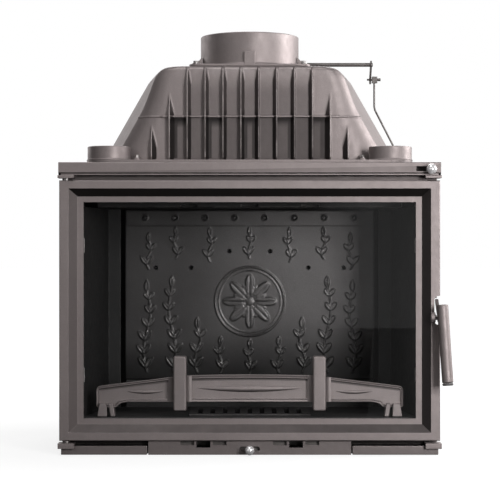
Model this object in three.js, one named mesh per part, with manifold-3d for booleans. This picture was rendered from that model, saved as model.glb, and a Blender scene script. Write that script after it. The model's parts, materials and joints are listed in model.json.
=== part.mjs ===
// A cast-iron fireplace insert: firebox, glazed door, ribbed smoke hood and flue collar.
//
// Lengths are millimetres. X runs to the right, Y to the back and Z up, and the door faces -Y.
// The origin is the middle of the underside of the base.

import * as THREE from 'three';
import { mergeVertices } from 'three/addons/utils/BufferGeometryUtils.js';
import Module from 'manifold-3d';

const wasm = await Module();
wasm.setup();

// ---------------------------------------------------------------- driving dimensions

// Clearances
const SEAM = 0.3; // between two pieces that touch
const RUNNING = 0.3; // round a pin that turns in its hole

// Body
const FRONT_WIDTH = 722;
const BODY_DEPTH = 400; // face of the front frame to the outside of the back wall
const ROOF_HEIGHT = 534.7; // underside of the top plate
const BASE_THICKNESS = 8;
const FRAME_THICKNESS = 12;
const WALL_THICKNESS = 8;
const BACK_THICKNESS = 8;
const RIB_THICKNESS = 6;
const SIDE_RIB_HEIGHT = 9;
const SIDE_RIB_PITCH = 38;
const SIDE_RIBS = 9;
const BACK_RIB_HEIGHT = 15;
const BACK_RIB_PITCH = 55;
const BACK_RIBS = 11;

// Door
const DOOR_WIDTH = 727;
const DOOR_HEIGHT = 497.1;
const DOOR_BOTTOM = 27.5;
const DOOR_THICKNESS = 26;
const DOOR_GAP = 4; // door's back to the face of the front frame
const SIDE_BAND = 17.5; // flat outer band, at the sides
const RAIL_BAND = 15.4; // and at the top and bottom
const SIDE_SLOPE = 16;
const RAIL_SLOPE = 15;
const SLOPE_DEPTH = 15;
const SIDE_LIP = 11.5; // flat lip in front of the glass
const RAIL_LIP = 10.8;
const DOOR_EDGE_STEP = 8.5; // how far the door's back land stands in from its outer edge
const DOOR_EDGE_THICKNESS = 18;
const DOOR_CHAMFER = 1.6;
const LIP_THICKNESS = 4;
const GLASS_THICKNESS = 4;
const GLASS_BEARING = 8; // how far the glass reaches behind the lip
const GASKET_TAPE = 2;
const ROPE_SIZE = 8;
const ROPE_INSET = 22; // centre of the rope seal, from the door's edge
const ROPE_PROUD = 3.5;
const HINGE_INSET = 12.5; // hinge axis, from the door's left edge
const HINGE_DEPTH = 13; // hinge axis, from the door's front
const HINGE_PIN_RADIUS = 4;
const HINGE_PIN_REACH = 18; // how far each pin runs into the door
const LUG_WIDTH = 31;

// Firebox
const MOUTH_WIDTH = 650;
const MOUTH_BOTTOM = 62;
const MOUTH_TOP = 492;
const FLOOR_TOP = 68.5;
const FLOOR_THICKNESS = 8.5;
const LINER_THICKNESS = 8;
const LINER_INSET = 2; // the mouth's edge to the front of a liner
const LINER_FLANGE = 25;
const LINER_TOP = 475.7;
const FIREBACK_WIDTH = 508;
const FIREBACK_BOTTOM = 124.6;
const FIREBACK_TOP = 475;
const FIREBACK_THICKNESS = 10;
const FIREBACK_SETBACK = 80; // fireback's front to the outside of the back wall
const FIREBACK_GROOVE = 12; // fireback's edge to the liner's flange
const FIREBACK_BOSSES = 8;
const BOSS_RADIUS = 6;
const BOSS_MARGIN = 42; // fireback's edge to the first boss
const BOSS_DROP = 17; // below the fireback's top
const RELIEF_HEIGHT = 2.5;
const MEDALLION_RADIUS = 62;
const MEDALLION_RIM = 6;
const STEM_SHARES = [0.44, 0.66, 0.875]; // places of the leaf stems, as shares of half the width
const FIREBACK_HOLES = [[0.163, 86], [0.47, 120], [0.752, 120]]; // share of half the width, and drop
const FIREBACK_HOLE_RADIUS = 4.5;
const BAFFLE_THICKNESS = 11;
const BAFFLE_REACH = 200; // from the fireback's front towards the door
const GRATE_WIDTH = 222;
const GRATE_DEPTH = 176;
const GRATE_SETBACK = 54; // frame's back to the grate's front
const GRATE_RISE = 3.5; // grate's rim above the floor
const GRATE_SLOTS = 9;
const GRATE_SLOT_WIDTH = 10;

// Ash pan
const PAN_WALL = 2;
const PAN_HEIGHT = 36;
const PAN_GUIDE_HEIGHT = 20;

// Base front
const RAIL_HEIGHT = 17.2;
const RAIL_REACH = 22; // in front of the frame's face
const COVER_WIDTH = 388;
const COVER_HEIGHT = 27;
const COVER_THICKNESS = 8;
const COVER_GAP = 2.5; // at each end
const SLOT_WIDTH = 26.5;
const SLOT_PITCH = 31;
const FIRST_SLOT = 57.6; // centre of the innermost slot
const SHALLOW_SLOT = 8.7;
const DEEP_SLOT = 13.5;
const SLIDER_THICKNESS = 4;
const SLIDER_TRAVEL = 12; // to each side
const KNOB_RADIUS = 9;
const KNOB_HEIGHT = 11.3;
const STEM_RADIUS = 3;
const AIR_STEM_LENGTH = 18; // in front of the air cover
const AIR_WAY_SHARE = 0.72; // of the cover's width
const AIR_WAY_HEIGHT = 15;

// Top plate
const TOP_THICKNESS = 7.3;
const LIP_WIDTH = 731;
const LIP_HEIGHT = 24.8;
const LIP_DEPTH = 14;
const LIP_REACH = 28; // in front of the frame's face
const LIP_CHAMFER = 5;
const PAD_HEIGHT = 24; // of the raised pad, above the top plate
const PAD_WIDTH = 636;
const PAD_SETBACK = 29; // lip's front to the pad's front
const PAD_MARGIN = 45; // behind the hood
const PAD_WALL = 8;
const PAD_ROUND = 46;

// Hot air collars
const SPIGOT_RADIUS = 42;
const SPIGOT_HEIGHT = 27;
const SPIGOT_WALL = 5;
const SPIGOT_SPACING = 550;
const SPIGOT_SETBACK = 78; // lip's front to the collar's centre
const LID_THICKNESS = 4;
const LID_DROP = 3; // lid below the collar's rim
const LID_LEDGE = 4;

// Smoke hood
const HOOD_WIDTH = 587;
const HOOD_DEPTH = 265;
const HOOD_HEIGHT = 189;
const HOOD_SETBACK = 103; // lip's front to the hood's front wall
const HOOD_SLOPE = 60; // degrees from level
const HOOD_WALL = 8;
const HOOD_SHOULDER = 45; // radius between the sloped side and the roof
const HOOD_BROW = 14; // radius between the front wall and the roof
const HOOD_CORNER = 80; // radius of the upright corners at the base
const HOOD_RIB_PITCH = 35.2;
const HOOD_RIB_THICKNESS = 4.8;
const HOOD_RIB_REACH = 16;
const HOOD_RIB_PAIRS = 6;
const HOOD_RIB_MARGIN = 62; // least distance from a rib to the hood's edge
const HOOD_LEDGE_HEIGHT = 87; // above the hood's base
const BAY_DEPTH = 12;
const BAY_BOTTOM = 6;
const HOOD_LUG_WIDTH = 14;
const HOOD_LUG_GAP = 4; // bolt lug to the hot air collar

// Flue collar
const FLUE_RADIUS = 100;
const FLUE_WALL = 6;
const FLUE_FOOT_WIDTH = 242;
const FLUE_FOOT_DEPTH = 238;
const FLUE_FOOT_THICKNESS = 5;
const FLUE_HEIGHT = 70.5; // foot's underside to the rim
const FLUE_SETBACK = 125; // hood's front wall to the flue's axis
const FLUE_LUG_WIDTH = 22;
const FLUE_LUG_HEIGHT = 26;
const FLUE_LUG_REACH = 8;
const FLUE_BOLT_INSET = 14;

// Damper
const DAMPER_HEIGHT = 15.5; // shaft above the flue collar's foot
const DAMPER_GAP = 3; // plate to the flue's wall
const DAMPER_THICKNESS = 5;
const DAMPER_HUB_RADIUS = 8;
const DAMPER_VENT_RADIUS = 16;
const DAMPER_VENT_OFFSET = 52;
const SHAFT_RADIUS = 4;
const SHAFT_LEFT = 112;
const SHAFT_RIGHT = 252;
const CRANK_THICKNESS = 6;
const CRANK_LEVER = 28; // wire below the shaft
const CRANK_HALF_SWING = 40; // degrees to each side of straight down
const CRANK_WIDTH = 17;
const CRANK_SLOT = 8.4;
const WIRE_RADIUS = 2;
const WIRE_KNEE = 60; // height of the upright part below the crank
const WIRE_BELOW_SEAT = 3.6; // wire's axis above the top plate
const WIRE_KNOB_X = 346;
const WIRE_KINK_X = 300.5;
const WIRE_KINK_DROP = 145; // below the crank's clamp
const WIRE_TURN_X = 336;
const WIRE_FORWARD_RUN = 85; // from the foot of the slant to the straight run
const WIRE_KNOB_GAP = 3;
const DAMPER_KNOB_RADIUS = 10;

// Handle
const PIVOT_HEIGHT = 263;
const PIVOT_REACH = 7; // spindle's axis in front of the door
const NOTCH_DEPTH = 11;
const NOTCH_BOTTOM = 249;
const NOTCH_TOP = 304;
const SPINDLE_RADIUS = 4.5;
const LEVER_THICKNESS = 5.6;
const LEVER_HALF_WIDTH = 4.5;
const LEVER_RISE = 30; // latch nose above the spindle
const NOSE_REACH = 6; // latch nose behind the frame's face
const GRIP_RADIUS = 10.75;
const GRIP_LENGTH = 152;
const GRIP_ABOVE_PIVOT = 25;
const GRIP_REACH = 19; // grip's axis in front of the spindle
const GRIP_OUTWARD = 3.2; // degrees
const GRIP_FORWARD = 6; // degrees
const GRIP_X = 366.3; // grip's axis at the spindle's height
const CAP_LENGTH = 5;

// Log guard
const GUARD_SETBACK = 40; // frame's face to the bar's front
const GUARD_THICKNESS = 12;
const GUARD_BOTTOM = 96.7;
const GUARD_MIDDLE_TOP = 149.9;
const GUARD_WING_TOP = 146;
const GUARD_END_TOP = 127;
const GUARD_HALF_LENGTH = 298;
const POST_OFFSET = 135;
const POST_WIDTH = 25.7;
const POST_BOTTOM = 79.8;
const POST_TOP = 186.4;
const POST_REACH = 22; // in front of the bar
const FOOT_DEPTH = 36;

// ---------------------------------------------------------------- places worked out from them

const frontHalf = FRONT_WIDTH / 2;
const faceY = -BODY_DEPTH / 2;
const backY = BODY_DEPTH / 2;
const frameBackY = faceY + FRAME_THICKNESS;
const backWallY = backY - BACK_THICKNESS;
const wallOuter = frontHalf - SIDE_RIB_HEIGHT;
const wallInner = wallOuter - WALL_THICKNESS;
const frameBottom = RAIL_HEIGHT + SEAM;
const frameTop = ROOF_HEIGHT - SEAM;
const mouthHalf = MOUTH_WIDTH / 2;

const doorHalf = DOOR_WIDTH / 2;
const doorTop = DOOR_BOTTOM + DOOR_HEIGHT;
const doorBackY = faceY - DOOR_GAP;
const doorFrontY = doorBackY - DOOR_THICKNESS;
const hingeX = HINGE_INSET - doorHalf;
const hingeY = doorFrontY + HINGE_DEPTH;
const lipBackY = doorFrontY + SLOPE_DEPTH + LIP_THICKNESS;

const floorBottom = FLOOR_TOP - FLOOR_THICKNESS;
const firebackY = backY - FIREBACK_SETBACK;
const firebackBackY = firebackY + FIREBACK_THICKNESS;
const linerFront = mouthHalf - LINER_INSET;
const linerBack = FIREBACK_WIDTH / 2 + FIREBACK_GROOVE + LINER_FLANGE;
const grateFrontY = frameBackY + GRATE_SETBACK;
const grateBackY = grateFrontY + GRATE_DEPTH;

const railFrontY = faceY - RAIL_REACH;
const coverHalf = COVER_WIDTH / 2;
const lipFrontY = faceY - LIP_REACH;
const plateTop = ROOF_HEIGHT + TOP_THICKNESS;
const padTop = plateTop + PAD_HEIGHT;
const hoodFrontY = lipFrontY + HOOD_SETBACK;
const hoodBackY = hoodFrontY + HOOD_DEPTH;
const hoodBase = padTop + SEAM;
const hoodTop = hoodBase + HOOD_HEIGHT;
const padFrontY = lipFrontY + PAD_SETBACK;
const padBackY = hoodBackY + PAD_MARGIN;
const spigotX = SPIGOT_SPACING / 2;
const spigotSeat = SPIGOT_RADIUS - SPIGOT_WALL - LID_LEDGE; // radius inside the ledge that holds the lid
const spigotY = lipFrontY + SPIGOT_SETBACK;
const flueY = hoodFrontY + FLUE_SETBACK;
const flueBase = hoodTop + SEAM;
const footTop = flueBase + FLUE_FOOT_THICKNESS;
const flueBore = FLUE_RADIUS - FLUE_WALL;
const shaftZ = flueBase + DAMPER_HEIGHT;
const pivotY = doorFrontY - PIVOT_REACH;

// ---------------------------------------------------------------- shapes

/** Turns a closed geometry into a solid that can be joined and cut. */
function solidOf(geometry) {
  const bare = geometry.index ? geometry.toNonIndexed() : geometry.clone();
  bare.deleteAttribute('normal');
  bare.deleteAttribute('uv');
  const merged = mergeVertices(bare, 1e-4);
  return new wasm.Manifold(new wasm.Mesh({
    numProp: 3,
    vertProperties: new Float32Array(merged.attributes.position.array),
    triVerts: new Uint32Array(merged.index.array),
  }));
}

/** Turns a solid back into a geometry with flat faces. */
function geometryOf(solid) {
  const mesh = solid.getMesh();
  const indexed = new THREE.BufferGeometry();
  indexed.setAttribute('position', new THREE.BufferAttribute(mesh.vertProperties, 3));
  indexed.setIndex(new THREE.BufferAttribute(mesh.triVerts, 1));
  const geometry = indexed.toNonIndexed();
  geometry.computeVertexNormals();
  return geometry;
}

function join(solids) {
  return solids.reduce((whole, solid) => whole.add(solid));
}

function cut(solid, tools) {
  return tools.reduce((rest, tool) => rest.subtract(tool), solid);
}

/** A block between two limits along each axis. */
function block([x0, x1], [y0, y1], [z0, z1]) {
  const geometry = new THREE.BoxGeometry(x1 - x0, y1 - y0, z1 - z0);
  geometry.translate((x0 + x1) / 2, (y0 + y1) / 2, (z0 + z1) / 2);
  return solidOf(geometry);
}

/** A round bar from one point to another, or a cone if its end has another radius. */
function rod(start, end, radius, sides = 24, endRadius = radius) {
  const from = new THREE.Vector3(...start);
  const to = new THREE.Vector3(...end);
  const direction = to.clone().sub(from);
  const geometry = new THREE.CylinderGeometry(endRadius, radius, direction.length(), sides);
  const turn = new THREE.Quaternion().setFromUnitVectors(
    new THREE.Vector3(0, 1, 0), direction.normalize());
  geometry.applyQuaternion(turn);
  geometry.translate(...from.add(to).multiplyScalar(0.5));
  return solidOf(geometry);
}

/** The directions that a shape's own x, y and depth take when it is extruded along an axis. */
const EXTRUSIONS = {
  x: new THREE.Matrix4().set(0, 0, 1, 0, 1, 0, 0, 0, 0, 1, 0, 0, 0, 0, 0, 1),
  y: new THREE.Matrix4().set(1, 0, 0, 0, 0, 0, -1, 0, 0, 1, 0, 0, 0, 0, 0, 1),
  z: new THREE.Matrix4(),
};

/** Extrudes an outline along X (outline in Y, Z), Y (outline in X, Z) or Z (outline in X, Y). */
function prism(axis, outline, from, to, curveSegments = 6) {
  const shape = outline instanceof THREE.Shape
    ? outline
    : new THREE.Shape(outline.map((p) => new THREE.Vector2(...p)));
  const options = { depth: to - from, bevelEnabled: false, curveSegments };
  const geometry = new THREE.ExtrudeGeometry(shape, options);
  geometry.translate(0, 0, axis === 'y' ? -to : from);
  geometry.applyMatrix4(EXTRUSIONS[axis]);
  return solidOf(geometry);
}

function roundedRectangle([u0, u1], [v0, v1], radius) {
  const shape = new THREE.Shape();
  shape.absarc(u1 - radius, v0 + radius, radius, -Math.PI / 2, 0);
  shape.absarc(u1 - radius, v1 - radius, radius, 0, Math.PI / 2);
  shape.absarc(u0 + radius, v1 - radius, radius, Math.PI / 2, Math.PI);
  shape.absarc(u0 + radius, v0 + radius, radius, Math.PI, Math.PI * 1.5);
  return shape;
}

/** A bar with round ends between two points of its own plane. */
function barOutline([u0, v0], [u1, v1], radius) {
  const angle = Math.atan2(v1 - v0, u1 - u0);
  const shape = new THREE.Shape();
  shape.absarc(u1, v1, radius, angle - Math.PI / 2, angle + Math.PI / 2);
  shape.absarc(u0, v0, radius, angle + Math.PI / 2, angle + Math.PI * 1.5);
  return shape;
}

/** A leaf with two pointed ends, its middle at a point, turned by an angle. */
function leafOutline([u, v], length, width, angle) {
  const shape = new THREE.Shape();
  const along = new THREE.Vector2(Math.cos(angle), Math.sin(angle)).multiplyScalar(length / 2);
  const across = new THREE.Vector2(-Math.sin(angle), Math.cos(angle)).multiplyScalar(width);
  shape.moveTo(u - along.x, v - along.y);
  shape.quadraticCurveTo(u - across.x, v - across.y, u + along.x, v + along.y);
  shape.quadraticCurveTo(u + across.x, v + across.y, u - along.x, v - along.y);
  return shape;
}

/**
 * Joins rings of points, each ring with as many points, into a closed skin.
 * The rings form a loop, or the first and last are closed with flat caps.
 */
function skin(rings, looped) {
  const count = rings[0].length;
  const index = [];
  rings.forEach((ring, row) => {
    if (!looped && row === rings.length - 1) return;
    const next = (row + 1) % rings.length;
    for (let i = 0; i < count; i += 1) {
      const j = (i + 1) % count;
      index.push(row * count + i, row * count + j, next * count + j);
      index.push(row * count + i, next * count + j, next * count + i);
    }
  });
  if (!looped) {
    const last = (rings.length - 1) * count;
    for (let i = 1; i < count - 1; i += 1) {
      index.push(0, i + 1, i);
      index.push(last, last + i, last + i + 1);
    }
  }
  const geometry = new THREE.BufferGeometry();
  geometry.setAttribute('position', new THREE.Float32BufferAttribute(rings.flat(2), 3));
  geometry.setIndex(index);
  return solidOf(geometry);
}

/**
 * A frame with mitred corners round an upright rectangle. The section's points are
 * [inset from the sides, inset from the top and bottom, y], in order round the section.
 */
function mitredFrame(section, half, bottom, top) {
  const rings = section.map(([side, rail, y]) => [
    [side - half, y, bottom + rail],
    [half - side, y, bottom + rail],
    [half - side, y, top - rail],
    [side - half, y, top - rail],
  ]);
  return skin(rings, true);
}

/** A path of straight runs with rounded bends. */
function bentPath(points, bend) {
  const path = new THREE.CurvePath();
  const corners = points.map((p) => new THREE.Vector3(...p));
  let start = corners[0];
  for (let i = 1; i < corners.length - 1; i += 1) {
    const before = corners[i].clone().add(corners[i - 1].clone().sub(corners[i]).setLength(bend));
    const after = corners[i].clone().add(corners[i + 1].clone().sub(corners[i]).setLength(bend));
    path.add(new THREE.LineCurve3(start, before));
    path.add(new THREE.QuadraticBezierCurve3(before, corners[i], after));
    start = after;
  }
  path.add(new THREE.LineCurve3(start, corners[corners.length - 1]));
  return path;
}

/** A round wire along a path. */
function wire(path, radius, steps, sides = 8) {
  const circle = new THREE.EllipseCurve(0, 0, radius, radius);
  const section = new THREE.Shape(circle.getPoints(sides).slice(0, -1));
  return solidOf(new THREE.ExtrudeGeometry(section, { steps, extrudePath: path, bevelEnabled: false }));
}

/** A hexagon head on a short washer, pointing along +Z from its seat. */
function boltHead(radius, height) {
  const washer = rod([0, 0, 0], [0, 0, height * 0.3], radius * 1.25, 16);
  const head = rod([0, 0, 0], [0, 0, height], radius, 6);
  return washer.add(head);
}

// ---------------------------------------------------------------- finishes

const FINISHES = {
  iron: { color: 0x6a6361, roughness: 0.72, metalness: 0.45 },
  dark_iron: { color: 0x2b2928, roughness: 0.85, metalness: 0.3 },
  steel: { color: 0x8d8a88, roughness: 0.45, metalness: 0.9 },
  chrome: { color: 0xd9d9dc, roughness: 0.12, metalness: 1 },
  rope: { color: 0x3a3836, roughness: 1, metalness: 0 },
  glass: { color: 0x20211f, roughness: 0.05, metalness: 0, transparent: true, opacity: 0.3 },
};

/** Adds a named piece to a group. */
function add(group, name, shape, finish) {
  const geometry = shape.isBufferGeometry ? shape : geometryOf(shape);
  const mesh = new THREE.Mesh(geometry, new THREE.MeshStandardMaterial(FINISHES[finish]));
  mesh.name = name;
  group.add(mesh);
  return mesh;
}

const SIDES = [['left', -1], ['right', 1]];

/** Puts two limits in rising order, for a piece mirrored to the left. */
function span(a, b) {
  return a < b ? [a, b] : [b, a];
}

// ---------------------------------------------------------------- base

const railInner = coverHalf + COVER_GAP;
const panHalf = GRATE_WIDTH / 2 + 24;
const panFrontY = grateFrontY - 12;
const panBackY = grateBackY + 12;

function basePlate() {
  const plate = block([-wallOuter, wallOuter], [faceY, backY], [0, BASE_THICKNESS]);
  const rails = SIDES.map(([, side]) => block(
    span(side * railInner, side * frontHalf), [railFrontY, frameBackY], [0, RAIL_HEIGHT]));
  const guides = SIDES.map(([, side]) => block(
    span(side * (panHalf + 3), side * (panHalf + 9)),
    [panFrontY, panBackY],
    [0, BASE_THICKNESS + PAN_GUIDE_HEIGHT]));
  return join([plate, ...rails, ...guides]);
}

function airCover() {
  const face = block(
    [-coverHalf, coverHalf], [railFrontY, railFrontY + COVER_THICKNESS], [0, COVER_HEIGHT]);
  const sole = block([-coverHalf, coverHalf], [railFrontY, faceY - SEAM], [0, 3]);
  const ends = SIDES.map(([, side]) => block(
    span(side * (coverHalf - 8), side * coverHalf), [railFrontY, faceY - SEAM], [0, COVER_HEIGHT - 4]));
  const slots = [];
  for (const [, side] of SIDES) {
    [SHALLOW_SLOT, DEEP_SLOT, SHALLOW_SLOT].forEach((depth, place) => {
      const middle = side * (FIRST_SLOT + place * SLOT_PITCH);
      slots.push(block(
        [middle - SLOT_WIDTH / 2, middle + SLOT_WIDTH / 2],
        [railFrontY - 1, railFrontY + COVER_THICKNESS + 1],
        [COVER_HEIGHT - depth, COVER_HEIGHT + 1]));
    });
  }
  const stemHalf = SLIDER_TRAVEL + STEM_RADIUS * 2;
  slots.push(prism(
    'y',
    barOutline(
      [STEM_RADIUS - stemHalf, KNOB_HEIGHT], [stemHalf - STEM_RADIUS, KNOB_HEIGHT], STEM_RADIUS + 1.5),
    railFrontY - 1,
    railFrontY + COVER_THICKNESS + 1));
  return cut(join([face, sole, ...ends]), slots);
}

const sliderY = railFrontY + COVER_THICKNESS + 1;
const sliderBottom = 3.5;

function airSlider() {
  const half = coverHalf - 8 - SLIDER_TRAVEL - 2;
  const strip = block(
    [-half, half], [sliderY, sliderY + SLIDER_THICKNESS], [sliderBottom, COVER_HEIGHT - 1]);
  const ports = SIDES.map(([, side]) => {
    const middle = side * (FIRST_SLOT + SLOT_PITCH);
    return block(
      [middle - SLOT_WIDTH / 2, middle + SLOT_WIDTH / 2],
      [sliderY - 1, sliderY + SLIDER_THICKNESS + 1],
      [COVER_HEIGHT - DEEP_SLOT, COVER_HEIGHT]);
  });
  return cut(strip, ports);
}

// ---------------------------------------------------------------- body

const latchPocket = { bottom: PIVOT_HEIGHT - 18, top: PIVOT_HEIGHT + 50, inner: doorHalf - 8.5 };

function frontFrame() {
  const ring = roundedRectangle([-frontHalf, frontHalf], [frameBottom, frameTop], 4);
  ring.holes.push(roundedRectangle([-mouthHalf, mouthHalf], [MOUTH_BOTTOM, MOUTH_TOP], 8));
  const plate = prism('y', ring, faceY, frameBackY, 3);
  const throughY = [faceY - 1, frameBackY + 1];
  const airHalf = coverHalf * AIR_WAY_SHARE;
  const airWay = block([-airHalf, airHalf], throughY, [frameBottom - 1, frameBottom + AIR_WAY_HEIGHT]);
  const pocket = block([latchPocket.inner, frontHalf + 1], throughY, [latchPocket.bottom, latchPocket.top]);
  return cut(plate, [airWay, pocket]);
}

/** An upright rib with sloped ends, growing from a wall along X or Y. */
function wallRib(axis, place, root, tip, bottom, top) {
  const slope = Math.abs(tip - root);
  const outline = [[root, bottom], [tip, bottom + slope], [tip, top - slope], [root, top]];
  return prism(axis, outline, place - RIB_THICKNESS / 2, place + RIB_THICKNESS / 2);
}

function sideWall(side) {
  const bottom = BASE_THICKNESS + SEAM;
  const wallY = [frameBackY + SEAM, backWallY - SEAM];
  const wall = block(span(side * wallInner, side * wallOuter), wallY, [bottom, frameTop]);
  const ribs = [];
  for (let i = 0; i < SIDE_RIBS; i += 1) {
    const y = (i - (SIDE_RIBS - 1) / 2) * SIDE_RIB_PITCH;
    const root = side * (wallOuter - 1);
    ribs.push(wallRib('y', y, root, side * frontHalf, bottom + 6, frameTop - 6));
  }
  const ledge = block(
    span(side * (wallInner - 12), side * (wallInner + 1)),
    [frameBackY + 6, firebackBackY],
    [floorBottom - SEAM - 11, floorBottom - SEAM]);
  return join([wall, ledge, ...ribs]);
}

function backWall() {
  const bottom = BASE_THICKNESS + SEAM;
  const wall = block([-wallOuter, wallOuter], [backWallY, backY], [bottom, frameTop]);
  const ribs = [];
  for (let i = 0; i < BACK_RIBS; i += 1) {
    const x = (i - (BACK_RIBS - 1) / 2) * BACK_RIB_PITCH;
    ribs.push(wallRib('x', x, backY - 1, backY + BACK_RIB_HEIGHT, bottom + 6, frameTop - 6));
  }
  return join([wall, ...ribs]);
}

const wireZ = plateTop + WIRE_BELOW_SEAT;

function topPlate() {
  const plate = block([-frontHalf, frontHalf], [lipFrontY + 2, backY], [ROOF_HEIGHT, plateTop]);
  const lipHalf = LIP_WIDTH / 2;
  const lipTop = ROOF_HEIGHT + LIP_HEIGHT;
  const lip = prism('x', [
    [lipFrontY + LIP_CHAMFER, ROOF_HEIGHT],
    [lipFrontY + LIP_DEPTH, ROOF_HEIGHT],
    [lipFrontY + LIP_DEPTH, lipTop],
    [lipFrontY + 1.5, lipTop],
    [lipFrontY, lipTop - 1.5],
    [lipFrontY, ROOF_HEIGHT + LIP_CHAMFER],
  ], -lipHalf, lipHalf);
  const padX = [-PAD_WIDTH / 2, PAD_WIDTH / 2];
  const pad = prism('z', roundedRectangle(padX, [padFrontY, padBackY], PAD_ROUND), plateTop - 1, padTop);
  const inner = PAD_ROUND - PAD_WALL;
  const under = prism('z', roundedRectangle(
    [padX[0] + PAD_WALL, padX[1] - PAD_WALL], [padFrontY + PAD_WALL, padBackY - PAD_WALL], inner),
  ROOF_HEIGHT - 1, padTop - PAD_WALL);
  const smokeWay = prism('z', roundedRectangle(
    [-HOOD_WIDTH / 2 + 40, HOOD_WIDTH / 2 - 40], [hoodFrontY + 14, hoodBackY - 14], 40),
  ROOF_HEIGHT, padTop + 1);
  const airWays = SIDES.map(([, side]) => rod(
    [side * spigotX, spigotY, ROOF_HEIGHT], [side * spigotX, spigotY, padTop + 1], spigotSeat));
  const wireSlot = block(
    [WIRE_KNOB_X - 28, WIRE_KNOB_X + 5], [lipFrontY - 1, lipFrontY + LIP_DEPTH + 1], [plateTop, wireZ + 6]);
  const hingeRooms = SIDES.map(([, side]) => rod(
    [side * hingeX, hingeY, ROOF_HEIGHT - 1], [side * hingeX, hingeY, plateTop + 2], HINGE_PIN_RADIUS + 4));
  return cut(join([plate, lip, pad]), [under, smokeWay, ...airWays, wireSlot, ...hingeRooms]);
}

// ---------------------------------------------------------------- smoke hood and flue collar

/** A hood without ribs: an upright front and back, sloped sides, and a rounded edge to the roof. */
function hoodBody({ halfWidth, front, back, bottom, top, shoulder, brow, corner }) {
  const slope = 1 / Math.tan(THREE.MathUtils.degToRad(HOOD_SLOPE));
  const shoulderStart = top - shoulder * (1 - Math.cos(THREE.MathUtils.degToRad(HOOD_SLOPE)));
  const startHalf = halfWidth - (shoulderStart - hoodBase) * slope;
  const roofHalf = startHalf - shoulder * Math.sin(THREE.MathUtils.degToRad(HOOD_SLOPE));
  const heights = [bottom, (bottom + shoulderStart) / 2, shoulderStart];
  for (let i = 0; i <= 4; i += 1) {
    heights.push(top - brow + brow * Math.sin((i / 4) * (Math.PI / 2)));
  }
  const rings = heights.sort((a, b) => a - b).map((z) => {
    const rise = Math.max(0, z - (top - shoulder));
    const half = z <= shoulderStart
      ? halfWidth - (z - hoodBase) * slope
      : roofHalf + Math.sqrt(Math.max(0, shoulder ** 2 - rise ** 2));
    const browRise = Math.max(0, z - (top - brow));
    const setIn = brow - Math.sqrt(Math.max(0, brow ** 2 - browRise ** 2));
    const radius = corner * (1 - 0.4 * ((z - bottom) / (top - bottom)));
    const outline = roundedRectangle([-half, half], [front + setIn, back - setIn], radius);
    return outline.getPoints(5).slice(0, -1).map((p) => [p.x, p.y, z]);
  });
  return skin(rings, false);
}

const hoodOutside = {
  halfWidth: HOOD_WIDTH / 2,
  front: hoodFrontY,
  back: hoodBackY,
  bottom: hoodBase,
  top: hoodTop,
  shoulder: HOOD_SHOULDER,
  brow: HOOD_BROW,
  corner: HOOD_CORNER,
};
const hoodInside = {
  halfWidth: HOOD_WIDTH / 2 - HOOD_WALL / Math.sin(THREE.MathUtils.degToRad(HOOD_SLOPE)),
  front: hoodFrontY + HOOD_WALL,
  back: hoodBackY - HOOD_WALL,
  bottom: hoodBase - 5,
  top: hoodTop - HOOD_WALL,
  shoulder: HOOD_SHOULDER - HOOD_WALL,
  brow: HOOD_BROW - HOOD_WALL / 2,
  corner: HOOD_CORNER - HOOD_WALL,
};
const hoodRibX = Array.from({ length: HOOD_RIB_PAIRS }, (_, i) => (i + 0.5) * HOOD_RIB_PITCH);
const hoodBoltX = spigotX - SPIGOT_RADIUS - HOOD_LUG_GAP - HOOD_LUG_WIDTH / 2;
const hoodBoltY = hoodFrontY - 15;
const lugHeight = 6;

/** A rib on the hood's front wall: it fades into the brow, or into the sloped side. */
function hoodRib(x) {
  const slope = 1 / Math.tan(THREE.MathUtils.degToRad(HOOD_SLOPE));
  const sideLimit = hoodBase + (HOOD_WIDTH / 2 - HOOD_RIB_MARGIN - Math.abs(x)) / slope;
  const top = Math.min(hoodTop - HOOD_BROW * 0.4, sideLimit);
  const root = hoodFrontY + HOOD_WALL / 2;
  const tip = hoodFrontY - HOOD_RIB_REACH;
  return prism('x', [
    [root, hoodBase + 2],
    [tip + 4, hoodBase + 2],
    [tip, hoodBase + 8],
    [tip, top - HOOD_RIB_REACH * 1.6],
    [hoodFrontY, top],
    [root, top],
  ], x - HOOD_RIB_THICKNESS / 2, x + HOOD_RIB_THICKNESS / 2);
}

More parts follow.
